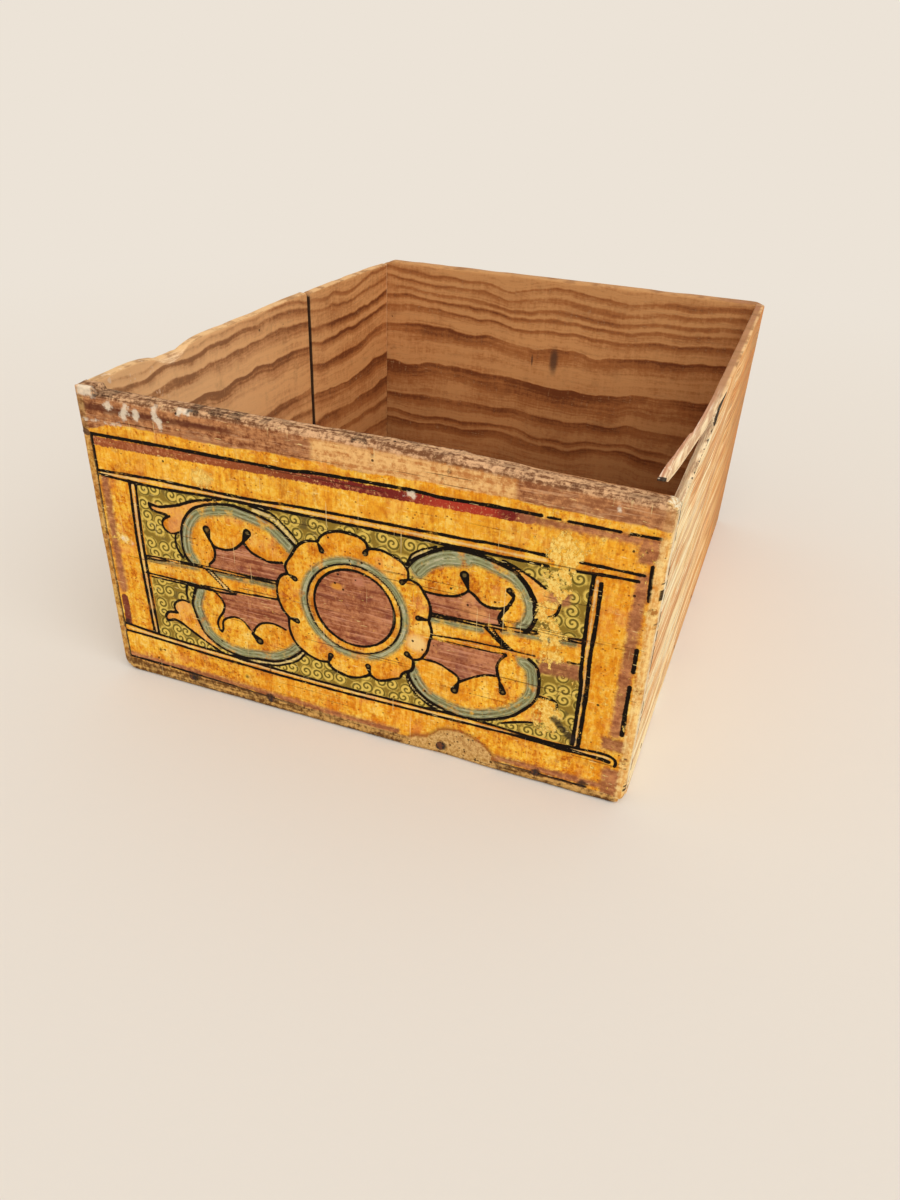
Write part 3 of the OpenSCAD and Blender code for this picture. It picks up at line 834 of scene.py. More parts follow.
# Pale and dark blocks on the rim, by their sides, foot and top
RIM_PALE = [(-83, -76, 150.6, 154), (-136.6, -128, 152, 157)]
RIM_DARK = [
    (-78, -72.6, 152, 157), (-68, -60.5, 153, 157), (-58, -51.4, 153, 157), (-126.8, -118, 152.6, 154.6),
    (-127.9, -127, 151.8, 157), (-42, -38, 153.4, 157), (2, 9, 152.6, 154.2),
]
# Pale drips as a width and points
WHITE_DRIPS = [
    (2.6, [(-111, 149.6), (-111.8, 147)]), (3.8, [(-111.8, 146.6), (-112.4, 144.8)]),
    (2.2, [(-105.4, 148.6), (-105.8, 145)]), (2.6, [(-94.8, 150.6), (-95, 147.6)]),
    (3.4, [(-93.8, 146), (-93.2, 143.4)]), (2.2, [(-120.4, 150), (-120.2, 148)]),
    (1.2, [(116, 147), (116.2, 145)]), (2.2, [(28.8, 134.2), (30, 134.2)]),
    (1.4, [(-125, 81.4), (-119, 79.8)]), (0.3, [(-136, 140.8), (-126, 140.2), (-112, 140.4)]),
]
# Dark spots as a middle and width, and one dark stroke
DARK_SPOTS = [
    ((-93, 6.9), 5.5), ((-47, 6.5), 5.4), ((47.6, 5.7), 5.2), ((95.4, 5.9), 5.0), ((118.5, 6.9), 4.4),
    ((-131, 31.4), 3.4), ((12, 148), 1.2), ((43, 145), 1.4), ((46, 147.4), 1.2), ((-112.6, 18.6), 1.6),
    ((-60, 15.9), 1.8), ((-69, 38.3), 1.2), ((-137, 134.8), 3.6),
]
DARK_STROKE = (3.4, [(101.6, 39.3), (106, 35), (110.9, 30.3)])


def wear_fields(points):
    """Rubbed, flaked and stained places of the front as distance fields."""
    art = Drawing(points)
    art.fill("bare", FLAKE_EDGE)
    art.fill("honey", HONEY_PATCH, smooth=False)
    for shape in MAUVE_PATCHES:
        art.fill("mauve", shape, smooth=False)
    for width, line in MAUVE_LINES:
        art.stroke("mauve", line, width)
    for width, line in WHITE_DRIPS:
        art.stroke("drip", line, width)
    for middle, width in DARK_SPOTS:
        art.dab("stain", middle, width)
    art.stroke("stain", DARK_STROKE[1], DARK_STROKE[0])
    for name, blocks in (("drip", RIM_PALE), ("stain", RIM_DARK)):
        for x0, x1, z0, z1 in blocks:
            art.fill(name, [(x0, z0), (x0, z1), (x1, z1), (x1, z0)], smooth=False)
    pale = np.full(len(points), FAR)
    for (x, z), half_x, half_z in PALE_SPOTS:
        away = np.hypot((points[:, 0] - x) / half_x, (points[:, 1] - z) / half_z)
        pale = np.minimum(pale, (away - 1) * half_x)
    return {**art.fields, "pale": np.minimum(pale, FAR)}


# Materials

# Dark of worm holes and painted shade in open seams, then the painted shade of the inside
SEAM_DARK = (36, 22, 12)
GLOOM = (84, 46, 20)


def curls(f):
    """Small spirals, one in each cell of a loose grid: the distance from its middle, and its line."""
    settings = {"voronoi_dimensions": "2D"}
    inputs = {"Vector": f.vector(f.x, f.z, 0), "Scale": 1 / CURL_STEP, "Randomness": 0.5}
    middle = f.node("ShaderNodeTexVoronoi", settings, inputs, "Position")
    chance = f.node("ShaderNodeTexVoronoi", settings, inputs, "Color")
    turn, hand = (f.node("ShaderNodeSeparateColor", None, {0: chance}, channel) for channel in (0, 1))
    across = f.x - f.part(middle, 0)
    up = f.z - f.part(middle, 1)
    away = f.reach(across, up)
    angle = up.math("ARCTAN2", up, across) / (2 * math.pi) * (hand.math("GREATER_THAN", hand, 0.5) * 2 - 1)
    phase = away / CURL_PITCH + angle + turn + 4
    line = (phase.math("FRACT", phase) - 0.5).size() * CURL_PITCH
    line = line.rise(CURL_LINE / 2 + 0.2, CURL_LINE / 2 - 0.15)
    return away, line * away.rise(CURL_RADIUS + 0.2, CURL_RADIUS - 0.2)


def seam_dashes(f):
    """Where the seam behind the front board is open, painted dark as shade, in clusters up its height."""
    cluster = f.noise(26, 2, 0.5, f.vector(0, 0, f.z + 9)).rise(0.42, 0.54)
    return f.noise(9, 5, 0.75, f.vector(0, 0, f.z)).rise(0.47, 0.5) * cluster


def painted_finish(colours, wood):
    """Old distemper on pine: ochre ground, ornament, rubbing, flaking and worm holes; bare pine inside."""
    f = Finish("painted_front", CHALKY)
    wobble = (f.noise(6, 2) - 0.5) * 0.7 + (f.noise(1.1, 2) - 0.5) * 0.4
    grain = f.noise(2.2, 5, 0.7)
    ragged = (grain - 0.5) * 2.4
    fibre = f.noise(0.8, 3, 0.65, f.stretched(0.05, 1, 1))
    streak = f.noise(2.2, 4, 0.65, f.stretched(0.05, 1, 1, 17))
    speck = f.noise(1.2, 5, 0.75, f.stretched(1, 1, 0.8, 9))
    tone = f.noise(13, 4, 0.6)
    smear = streak * 0.45 + grain * 0.55

    def mark(name, soft=0.16, extra=0):
        return (f.attribute(name) + wobble + extra).rise(soft, -soft)

    # Ochre ground, mottled, brushed and flecked, darker beside the drawn lines
    mottle = tone * 0.4 + grain * 0.35 + speck * 0.25
    base = f.mix(mottle.rise(0.41, 0.48), (176, 88, 16), colours.orange)
    base = f.mix(mottle.rise(0.46, 0.54), base, colours.ochre)
    warm = f.patches(30, 57, 0.46, 0.6, 3, 0.6).most(f.x.rise(110, 118) * f.x.rise(132, 124))
    base = f.coats(
        base, (warm * 0.5, (236, 148, 26)), (f.patches(17, 78, 0.54, 0.66, 4, 0.6) * 0.4, (230, 154, 94)),
        (f.z.rise(118, 121) * f.z.rise(140, 136) * 0.35, (248, 180, 54)))
    amber = (f.z + ragged).rise(23, 21) * (f.x.size() + ragged * 6).rise(44, 20) * tone.rise(0.6, 0.4)
    base = f.coats(
        base, (amber * 0.6, (224, 128, 18)),
        (mottle.rise(0.53, 0.585) * (0.9 - warm * 0.35), colours.pale),
        (f.patches(7, 88, 0.55, 0.66, 5, 0.7) * 0.55, (172, 92, 24)))
    vein = (f.noise(6, 3, 0.6, f.stretched(1, 1, 0.8, 95)) - 0.5).size()
    base = f.mix(vein.rise(0.1, 0.2) * 0.4, base, (206, 114, 20))
    base = f.mix(vein.rise(0.045, 0.0) * 0.3, base, (254, 204, 98))
    brush = f.noise(1.5, 3, 0.6, f.stretched(1, 1, 0.14, 63))
    base = f.coats(
        base, (brush.rise(0.54, 0.64) * 0.35, (255, 206, 84)),
        (brush.rise(0.46, 0.38) * 0.35, (196, 108, 20)),
        (f.attribute("ink").rise(2.6, 0) * tone.rise(0.56, 0.4) * 0.5, (190, 110, 28)),
        (fibre.rise(0.54, 0.7) * 0.35, (206, 132, 34)))
    flecks = f.cells(3.0, f.stretched(1, 1, 1.2, 31)).rise(0.2, 0.1)
    flecks = flecks * f.patches(16, 37, 0.4, 0.52, 3, 0.6)
    base = f.mix(flecks * 0.8, base, (116, 50, 18))
    # Panel and its curls
    away, line = curls(f)
    ground = f.mix((away + (grain - 0.5) * 3).rise(2.6, 4.2), colours.panel, (142, 114, 42))
    ground = f.mix(tone.rise(0.58, 0.68) * away.rise(2.8, 3.8) * 0.7, ground, (92, 80, 46))
    base = f.mix(mark("panel", 0.25), base, ground)
    base = f.mix(line * mark("panel", 0.25, 0.4) * (0.75 + grain * 0.3), base, colours.curl)
    # Shading bands, streaked along their length, then red-brown fields and light lines
    run = f.noise(0.8, 3, 0.6, f.vector(f.attribute("sage") * 1.1, tone * 3, 0))
    sage = f.mix(run.rise(0.4, 0.58), (84, 96, 68), colours.celadon)
    sage = f.mix(run.rise(0.6, 0.68) * 0.6, sage, (216, 208, 176))
    faint = f.patches(9, 97, 0.54, 0.68) * 0.6
    base = f.mix(mark("sage", 1.3, ragged * 0.8) * (0.9 - faint), base, sage)
    red = f.mix(smear.rise(0.4, 0.6), colours.maroon, colours.mauve)
    red = f.coats(
        red, (f.patches(15, 52, 0.54, 0.68, 3, 0.6) * 0.5, (116, 58, 56)),
        (f.patches(11, 53, 0.54, 0.68) * 0.55, (208, 140, 100)),
        (f.patches(5, 54, 0.56, 0.68, 4, 0.7) * 0.5, (108, 48, 38)),
        (speck.rise(0.42, 0.3) * 0.6, (112, 50, 34)), (fibre.rise(0.53, 0.64) * 0.6, (216, 152, 118)),
        (streak.rise(0.46, 0.36) * 0.5, (108, 50, 38)), (f.x.rise(-126, -128) * 0.8, (112, 46, 32)))
    stripe = f.mix(f.x.rise(-50, 0), (150, 78, 42), (118, 38, 32))
    stripe = f.coats(
        stripe, ((f.x + ragged * 4).rise(22, 44) * (f.x + ragged * 4).rise(72, 64) * 0.8, (182, 62, 42)),
        ((f.x + ragged * 3).rise(74, 80), (164, 100, 66)), (smear.rise(0.5, 0.6) * 0.7, (196, 122, 80)),
        (speck.rise(0.58, 0.66) * 0.75, (240, 184, 126)))
    red = f.mix(f.z.rise(125, 127), red, stripe)
    rubbed = (grain * 0.5 + speck * 0.5).rise(0.57, 0.68)
    edge = ragged * (0.3 + f.z.rise(125, 127) * 0.6)
    base = f.mix(mark("maroon", 0.3, edge) * (1 - rubbed * 0.5), base, red)
    faded = f.mix(smear.rise(0.4, 0.62), (140, 82, 54), colours.mauve)
    base = f.mix(mark("mauve", 1.4, ragged * 1.3) * (1 - rubbed * 0.6) * 0.92, base, faded)
    peach = mark("peach", 1.4, ragged * 1.6) * f.patches(9, 99, 0.36, 0.6)
    base = f.mix(peach * 0.58, base, (238, 168, 100))
    for (x, z), half_x, half_z, tint in SOFT_SPOTS:
        spot = (f.reach((f.x - x) / half_x, (f.z - z) / half_z) + ragged * 0.35).rise(1.25, 0.45)
        base = f.mix(spot * 0.75, base, tint)
    base = f.mix(mark("cream", 0.35, 0.3 + ragged * 0.4) * (1 - rubbed * 0.5) * 0.62, base, colours.cream)
    # Drawn lines, worn thin in places, and paint flaked off to the pale ground under it
    thin = f.patches(8, 12, 0.6, 0.76).most(speck.rise(0.62, 0.72) * 0.6)
    ink = mark("ink", 0.16, -0.12) * (1 - thin * 0.5)
    base = f.mix(ink, base, colours.ink)
    base = f.mix(mark("pip", 0.3) * 0.6, base, (132, 110, 62))
    loss = f.attribute("pale").rise(4, -3)
    flake = f.noise(4.2, 6, 0.78, f.stretched(1.1, 1, 0.9, 15))
    lost = (flake + loss * 0.19 + f.x.rise(40, 138) * 0.04).rise(0.655, 0.68)
    plaster = f.mix(speck.rise(0.4, 0.6), (236, 176, 68), (252, 216, 118))
    base = f.mix(lost * 0.94, base, plaster)
    # Top band: brown paint rubbed away in the middle, with a dark streak
    band = f.z + ragged * 0.9 + (f.noise(30, 2) - 0.5) * 6 - TOP_BAND_FOOT + f.x.rise(-122, -134) * 4
    band = band.rise(-0.4, 0.6)
    brown = f.mix(smear.rise(0.4, 0.6), (120, 64, 36), (200, 138, 88))
    brown = f.coats(
        brown, (f.noise(9, 4, 0.65, f.stretched(0.5, 1, 1, 27)).rise(0.54, 0.68) * 0.5, (214, 166, 118)),
        (f.x.rise(70, 90) * 0.2, (216, 152, 100)), (streak.rise(0.54, 0.64) * 0.5, (112, 58, 40)),
        (fibre.rise(0.56, 0.68) * 0.45, (228, 178, 132)))
    dark_streak = (f.z - TOP_STREAK + wobble * 2.4).size().rise(2.4, 0.5) * f.x.rise(-44, -72)
    brown = f.mix(dark_streak * 0.8, brown, (92, 46, 30))
    honey = f.mix(smear.rise(0.4, 0.58), (196, 128, 68), colours.honey)
    honey = f.mix(speck.rise(0.54, 0.68) * 0.6, honey, (252, 216, 150))
    base = f.mix(band, base, f.mix(mark("honey", 1.5, ragged * 1.8) * 0.9, brown, honey))
    # Worn top edge, foot and ends, with grime
    depth = f.y - FRONT_LOW[1]
    end_worn = (depth + ragged * 0.6).rise(0.7, 1.7)
    foot = (f.z + ragged * 1.3 - 6.4 + f.x * 0.012).rise(0.7, -0.7)
    rim = (f.z + ragged * 1.2 - 151.2 + f.x.rise(0, 138) * 3).rise(-0.7, 0.9)
    bare = mark("bare", 0.6, ragged * 1.8)
    base = f.mix(f.attribute("bare").rise(3, 0.2) * (1 - bare) * 0.8, base, (136, 76, 40))
    worn = end_worn.most(foot).most(rim).most(bare)
    under = f.mix(smear.rise(0.42, 0.58), (118, 76, 48), (222, 174, 128))
    under = f.mix(foot * (1 - rim), under, f.mix(smear.rise(0.42, 0.58), (94, 60, 30), (214, 166, 94)))
    under = f.mix(bare * 0.9, under, f.mix(speck.rise(0.38, 0.6), (172, 124, 64), (226, 184, 116)))
    base = f.mix(worn * 0.94, base, under)
    grime = f.noise(6, 5, 0.65, f.stretched(0.4, 1, 1, 44)).rise(0.5, 0.66)
    base = f.mix(grime * rim.most(foot) * (1 - bare) * 0.5, base, (78, 52, 38))
    # Bare pine on the front board's inner face, with painted shade darker toward the bottom
    within = depth.rise(6.8, 8.6) * f.z.rise(153, 151) * f.x.size().rise(136, 134)
    bands, fine, _, feather = wood_figure(f, f.x, LEFT_LINES, 6)
    late = bands + (fine - 0.4) * 0.2 + (feather - 0.5) * 0.5
    pine = f.mix(late.rise(0.4, 0.95), f.mix(late.rise(0, 0.5), wood.light, wood.middle), wood.dark)
    base = f.mix(within * 0.95, base, f.mix(f.z.rise(130, 10) * 0.3, pine, GLOOM))
    # Darker along the lowest two millimetres of the foot
    base = f.mix((f.z + ragged * 0.8).rise(2.2, 0.6) * (1 - bare * 0.5) * 0.65, base, (80, 56, 32))
    # Left and right margins, and the pale right end with painted shade in its crevice and seam
    left = (f.x + ragged * 0.8).rise(-132.8, -134.4) * (1 - rim)
    base = f.mix(left * 0.65, base, f.mix(grain.rise(0.4, 0.6), (132, 90, 46), (204, 162, 102)))
    right = (f.x + ragged * 1.4).rise(132.8, 134.6) * (1 - f.z.rise(135, 138) * depth.rise(2, 0.8) * 0.75)
    chalk = f.noise(1.6, 4, 0.7, f.stretched(1, 1, 0.12, 61))
    margin = f.mix((grain * 0.5 + chalk * 0.5).rise(0.4, 0.6), (216, 152, 76), (250, 216, 144))
    ends = f.mix(chalk.rise(0.36, 0.56), (216, 162, 92), (254, 240, 204))
    margin = f.mix(depth.rise(1.2, 3), margin, ends)
    base = f.mix(right * 0.88, base, margin)
    # Painted shade in the crevice at the front's right end and in the open seam behind it
    crevice = (f.x + ragged * 0.5).rise(136.4, 137.2) * depth.rise(4, 2.4)
    crevice = crevice * f.noise(13, 4, 0.75, f.stretched(0, 0, 1, 45)).rise(0.56, 0.6)
    seam = ((depth - 8.4 + ragged * 0.5).rise(-1.3, -0.5) * seam_dashes(f)).most(crevice)
    base = f.mix(right * seam * 0.95, base, SEAM_DARK)
    # Pale drips, stains, worm holes, cracks along the grain and scratches down the board
    face = depth.rise(2.4, 1.2)
    splash = mark("drip", 0.9, ragged * 2.2 + (f.noise(3.4, 3, 0.6, f.stretched(shift=66)) - 0.5) * 5)
    base = f.mix(splash * face * (0.45 + grain * 0.6), base, (244, 226, 198))
    base = f.mix(mark("stain", 0.9, ragged * 1.4) * (0.5 + face * 0.35), base, (44, 34, 30))
    holes = f.cells(7, f.stretched(shift=6)).rise(0.1, 0.07) * f.patches(30, 8, 0.5, 0.58, 2, 0.5)
    holes = holes.most(f.cells(2.6, f.stretched(shift=3)).rise(0.24, 0.14) * bare * 0.85)
    base = f.mix(holes * 0.9, base, (44, 26, 14))
    split = f.noise(1.3, 2, 0.5, f.stretched(0.012, 1, 1, 71)).rise(0.69, 0.72)
    base = f.mix(split * 0.6, base, (76, 42, 22))
    scratch = f.noise(1.1, 2, 0.5, f.stretched(1, 1, 0.03, 83)).rise(0.68, 0.72)
    scratch = scratch * f.noise(25, 2).rise(0.46, 0.58)
    base = f.mix(scratch * 0.5, base, colours.cream)
    nicks = f.noise(1.0, 2, 0.5, f.stretched(0.16, 1, 1.4, 91)).rise(0.7, 0.73) * (1 - worn)
    base = f.mix(nicks * 0.6, base, (250, 222, 150))
    base = f.shade(base, 0.82 + f.noise(45, 3) * 0.2)
    rough = 0.5 + worn * 0.2 + speck * 0.16 - ink * 0.05
    relief = 0.5 + speck * 0.22 + fibre * 0.2 + ink * 0.08
    relief = relief - split * 0.4 - holes * 0.8 - worn.most(lost) * 0.2
    return f.done(base, rough, f.bump(relief, 0.5))


# Darkness between the late wood lines, and how sharply a line starts above
EARLY = 0.12
LINE_EDGE = 1.2


def band_stops(lines):
    """Ramp of late wood lines, sharp above and fading below, from each line's height, darkness and fade."""
    stops = [(0, 0.45)]
    for height, dark, fade in lines:
        stops += [((height - fade) / RIM, EARLY), (height / RIM, dark), ((height + LINE_EDGE) / RIM, EARLY)]
    return stops


def wood_figure(f, along, lines, seed):
    """Late wood over a board: its main lines, bent by slow and quick waves, with finer rings and fibres."""
    slow = f.noise(75, 1, 0.4, f.vector(along * 0.6, f.z * 0.5, seed * 31.0))
    middle = f.noise(30, 1, 0.4, f.vector(along * 0.7, f.z * 0.5, seed * 23.0))
    quick = f.noise(13, 2, 0.5, f.vector(along * 0.6, f.z * 0.5, seed * 13.0))
    height = f.z + (slow - 0.5) * 17 + (middle - 0.5) * 11 + (quick - 0.5) * 6
    fading = f.noise(50, 2, 0.5, f.vector(along * 0.7, height, seed)).rise(0.1, 0.6)
    bands = f.ramp(height / RIM, band_stops(lines)) * fading
    fine = f.noise(2.4, 2, 0.5, f.vector(along * 0.014, height, seed * 7.0)).rise(0.36, 0.66)
    level = f.z.least(RIM - 3)
    fibre = f.noise(0.8, 3, 0.65, f.vector(along * 0.035, level, f.x + f.y - along + seed * 3.0))
    feather = f.noise(2.2, 4, 0.7, f.vector(along, f.z * 0.2, seed * 4.0))
    return bands, fine, fibre, feather


def pine_finish(name, colours, along_axis, lines, seed, outside, painted_shade, spots=()):
    """Bare old pine: late wood bands, fibres, rubbed rims, grime, worm holes, a thin wash outside, and
    painted light and shade.
    """
    f = Finish(name)
    along = f.x if along_axis == "X" else f.y
    bands, fine, fibre, feather = wood_figure(f, along, lines, seed)
    blotch = f.noise(16, 5, 0.65, f.vector(along * 0.5, f.z, seed * 17.0))
    fleck = f.noise(1.4, 3, 0.65, f.vector(along * 0.45, f.z, seed * 41.0))
    late = bands * 1.05 + (fine - 0.4) * 0.2 + (feather - 0.5) * 0.65 + (blotch - 0.5) * 0.72 - 0.02
    late = late + (fleck - 0.5) * 0.5
    base = f.mix(late.rise(0.0, 0.5), colours.light, colours.middle)
    base = f.coats(
        base, (late.rise(0.4, 0.95), colours.dark), (fibre.rise(0.52, 0.8) * 0.3, (96, 52, 22)),
        ((feather * 0.6 + fibre * 0.4).rise(0.55, 0.7) * 0.45, (238, 192, 134)))
    # Painted light: the side walls lighter toward the front, less on the late wood
    if along_axis == "Y":
        base = f.mix(f.y.rise(110, -150) * (0.68 - late.rise(0.3, 0.8) * 0.48), base, (248, 204, 148))
    # Painted shade: darker by the given share, mostly toward the bottom of the inside
    base = f.mix(painted_shade(f), base, GLOOM)
    for x, z, half_x, half_z in spots:
        spot = (f.reach((along - x) / half_x, (f.z - z) / half_z) + (fibre - 0.5) * 0.8).rise(1.3, 0.4)
        base = f.mix(spot * 0.75, base, (60, 46, 38))
    # Outside: a thin yellow wash, palest toward the front, worn off in streaks
    out = outside(f)
    bend = f.noise(90, 1, 0.4, f.vector(along, f.z * 0.4, seed * 37.0)) - 0.5
    level = f.z + along * 0.03 + bend * 18
    streak = f.noise(1.8, 4, 0.65, f.vector(along * 0.014, level, seed * 11.0))
    line = f.noise(1.4, 3, 0.6, f.vector(along * 0.012, level, seed * 19.0))
    wash = f.mix(f.y.rise(150, 20), (190, 136, 78), colours.wash)
    wash = f.mix(f.y.rise(40, -130), wash, (252, 228, 170))
    calm = blotch.rise(0.34, 0.58)
    wash = f.coats(
        wash, (streak.rise(0.5, 0.56) * (0.3 + calm * 0.42), (204, 124, 50)),
        (streak.rise(0.49, 0.43) * f.y.rise(110, -90) * (0.9 - calm * 0.3), (255, 248, 216)),
        (line.rise(0.56, 0.61) * blotch.rise(0.36, 0.56) * 0.75, (132, 80, 36)),
        (late.rise(0.3, 0.9) * 0.3, colours.middle), (blotch.rise(0.5, 0.62) * 0.45, (232, 152, 72)))
    broad = f.noise(7, 3, 0.6, f.vector(along * 0.022, level, seed * 29.0))
    wash = f.mix(broad.rise(0.54, 0.6) * 0.5, wash, (196, 118, 52))
    wash = f.mix(broad.rise(0.44, 0.36) * f.y.rise(120, -60) * 0.6, wash, (255, 236, 184))
    base = f.mix(out * 0.94, base, wash)
    # Painted shade in the open seam beside the front board
    seam = (f.y - FRONT_HIGH[1] + (blotch - 0.5) * 2).rise(1.9, 1.0) * out * seam_dashes(f)
    base = f.mix(seam * 0.95, base, SEAM_DARK)
    # Rims, split faces with their dark cracks, painted shade in the open joint, and grime
    patch = f.noise(12, 4, 0.6, f.stretched(shift=seed * 9.0))
    rim = (f.attribute("top") + (patch - 0.5) * 1.2).rise(1.0, 0.2)
    worn = (190, 138, 86) if along_axis == "X" else colours.rim
    bright = f.mix(f.x.rise(100, 120) * (1 - out), worn, (158, 106, 74))
    rubbed = f.mix((patch + fibre * 0.3).rise(0.6, 0.76) * 0.8, bright, (140, 92, 54))
    base = f.mix(rim * 0.75, base, rubbed)
    broken = f.attribute("broken")
    # The strip's fresh outer side is pale wood; the broken ledge takes the same pale as painted light
    torn = f.mix(f.attribute("split"), colours.broken, colours.split)
    torn = f.mix(fibre.rise(0.46, 0.6) * 0.6, torn, (170, 106, 74))
    torn = f.mix(fibre.rise(0.44, 0.34) * 0.6, torn, (255, 240, 214))
    base = f.mix(broken * 0.92, base, torn)
    gaps = f.noise(6, 4, 0.7, f.vector(0, f.y, 0)) - 0.5
    crack = (f.attribute("crack") + gaps * 1.6).rise(0.66, 0.8)
    base = f.mix(crack * 0.95, base, (26, 17, 10))
    # Painted shade: the open joint in the left wall near black
    joint = (f.y - JOINT_Y).size().rise(JOINT_GAP / 2 + 0.9, JOINT_GAP / 2 + 0.2) * f.x.rise(-100, -120)
    base = f.mix(joint * (1 - rim * 0.6) * 0.95, base, (30, 18, 10))
    grime = patch.rise(0.56, 0.74)
    base = f.mix(grime * 0.18, base, (76, 44, 22))
    flecks = f.patches(5, 73, 0.62, 0.66, 2, 0.6) * f.y.rise(-96, -130) * (1 - out)
    base = f.mix(flecks * f.z.rise(125, 140) * 0.6, base, (240, 214, 182))
    # Painted highlight: a pale line down the side walls' rear corner, stronger higher up
    if along_axis == "Y":
        corner = (f.y - BACK_LOW[1]).size().rise(2.4, 0.6) * f.z.rise(70, 140)
        base = f.mix(corner * 0.6, base, (226, 194, 150))
    holes = f.cells(9, f.stretched(shift=seed * 4.0)).rise(0.09, 0.06) * patch.rise(0.6, 0.66)
    base = f.mix(holes * 0.8, base, SEAM_DARK)
    base = f.shade(base, 0.9 + f.noise(70, 2, 0.5, f.stretched(shift=seed)) * 0.2)
    rough = 0.66 + fibre * 0.16 - late * 0.1
    relief = 0.5 + late * 0.22 + fibre * 0.2 - holes * 0.8 + broken * fibre * 0.5
    return f.done(base, rough, f.bump(relief, 0.5))


def iron_finish(colours, paint=None):
    """Hand-forged nail heads, dark and rusted, or painted over with the front's rubbed ochre."""
    f = Finish("nail_iron_painted" if paint else "nail_iron")
    patch = f.noise(2.2, 4, 0.6)
    base = f.mix(patch.rise(0.42, 0.62), colours.iron, colours.rust)
    cover = 0
    if paint:
        cover = f.patches(1.6, 3, 0.3, 0.42) * f.z.rise(156, 155)
        cover = cover * (1 - f.x.rise(0, -1) * f.z.rise(120, 130) * 0.8)
        grain = f.noise(2.2, 5, 0.7)
        pale = f.mix(f.x.rise(-1, 1), (190, 146, 88), (238, 198, 118))
        base = f.mix(cover * 0.92, base, f.mix(grain.rise(0.4, 0.58), (180, 118, 50), pale))
    rough = 0.55 + patch * 0.3
    return f.done(base, rough, f.bump(f.noise(0.7, 3, 0.6), 0.25), (0.4 - patch * 0.3) * (1 - cover))


# Main late wood lines of each board: height, darkness and how far the line fades below
BACK_LINES = [
    (38, 0.85, 8), (44.5, 0.8, 4), (60, 0.85, 11), (86, 1.0, 24), (114, 0.9, 12), (126.5, 0.66, 5),
    (133.5, 0.62, 4), (139, 0.6, 3.5), (146, 0.62, 5), (153, 0.6, 4),
]
LEFT_LINES = [
    (14, 0.8, 8), (32, 0.75, 10), (48, 0.85, 10), (66, 0.8, 9), (80, 0.7, 6), (93, 0.9, 11),
    (124, 0.95, 14), (140.5, 0.9, 8), (149.6, 0.9, 6.5), (154, 0.7, 2.4),
]
REAR_LINES = [
    (18, 0.8, 10), (38, 0.8, 12), (56, 0.75, 8), (72, 0.95, 12), (92, 0.9, 14), (113, 0.95, 7),
    (127, 0.95, 5), (136, 0.9, 5), (146, 0.6, 4), (153, 0.6, 3),
]
RIGHT_LINES = [
    (20, 0.7, 10), (44, 0.7, 12), (66, 0.8, 9), (88, 0.7, 10), (104, 0.8, 8), (120, 0.9, 8),
    (136, 0.8, 7), (146, 0.7, 5),
]
BACK_SPOTS = [(0.4, 102.5, 3.4, 10), (-16, 101, 0.8, 4.5)]


# Pieces

# Front board: grid, rows through its thickness, the raised end of its rim, and its worn corners
FRONT_CELL = 1.6
FRONT_ROWS = [0, 0.09, 0.2, 0.36, 0.56, 0.78, 0.93, 1]
EAR_WIDTH, EAR_RISE = 10.5, 1.7
RIM_REACH = 16
FOOT_LEFT, FOOT_RIGHT, TOP_RIGHT = 7, 6, 4
# Dish at the flaked foot: right of the middle, half width, height and depth
DISH_AT, DISH_HALF, DISH_UP, DISH_DEEP = 50, 25, 19, 0.8
# Height lost along the front's rim, by the share of its half width from the middle
FRONT_RIM = [
    (-0.917, 0.8), (-0.87, 0.8), (-0.45, 0.6), (-0.15, 0.4), (0, 0.2), (0.36, 0), (0.385, 0.9),
    (0.52, 1.4), (0.58, 2.1), (0.72, 2.4), (0.87, 2.8), (0.95, 3.2), (1, 3.4),
]


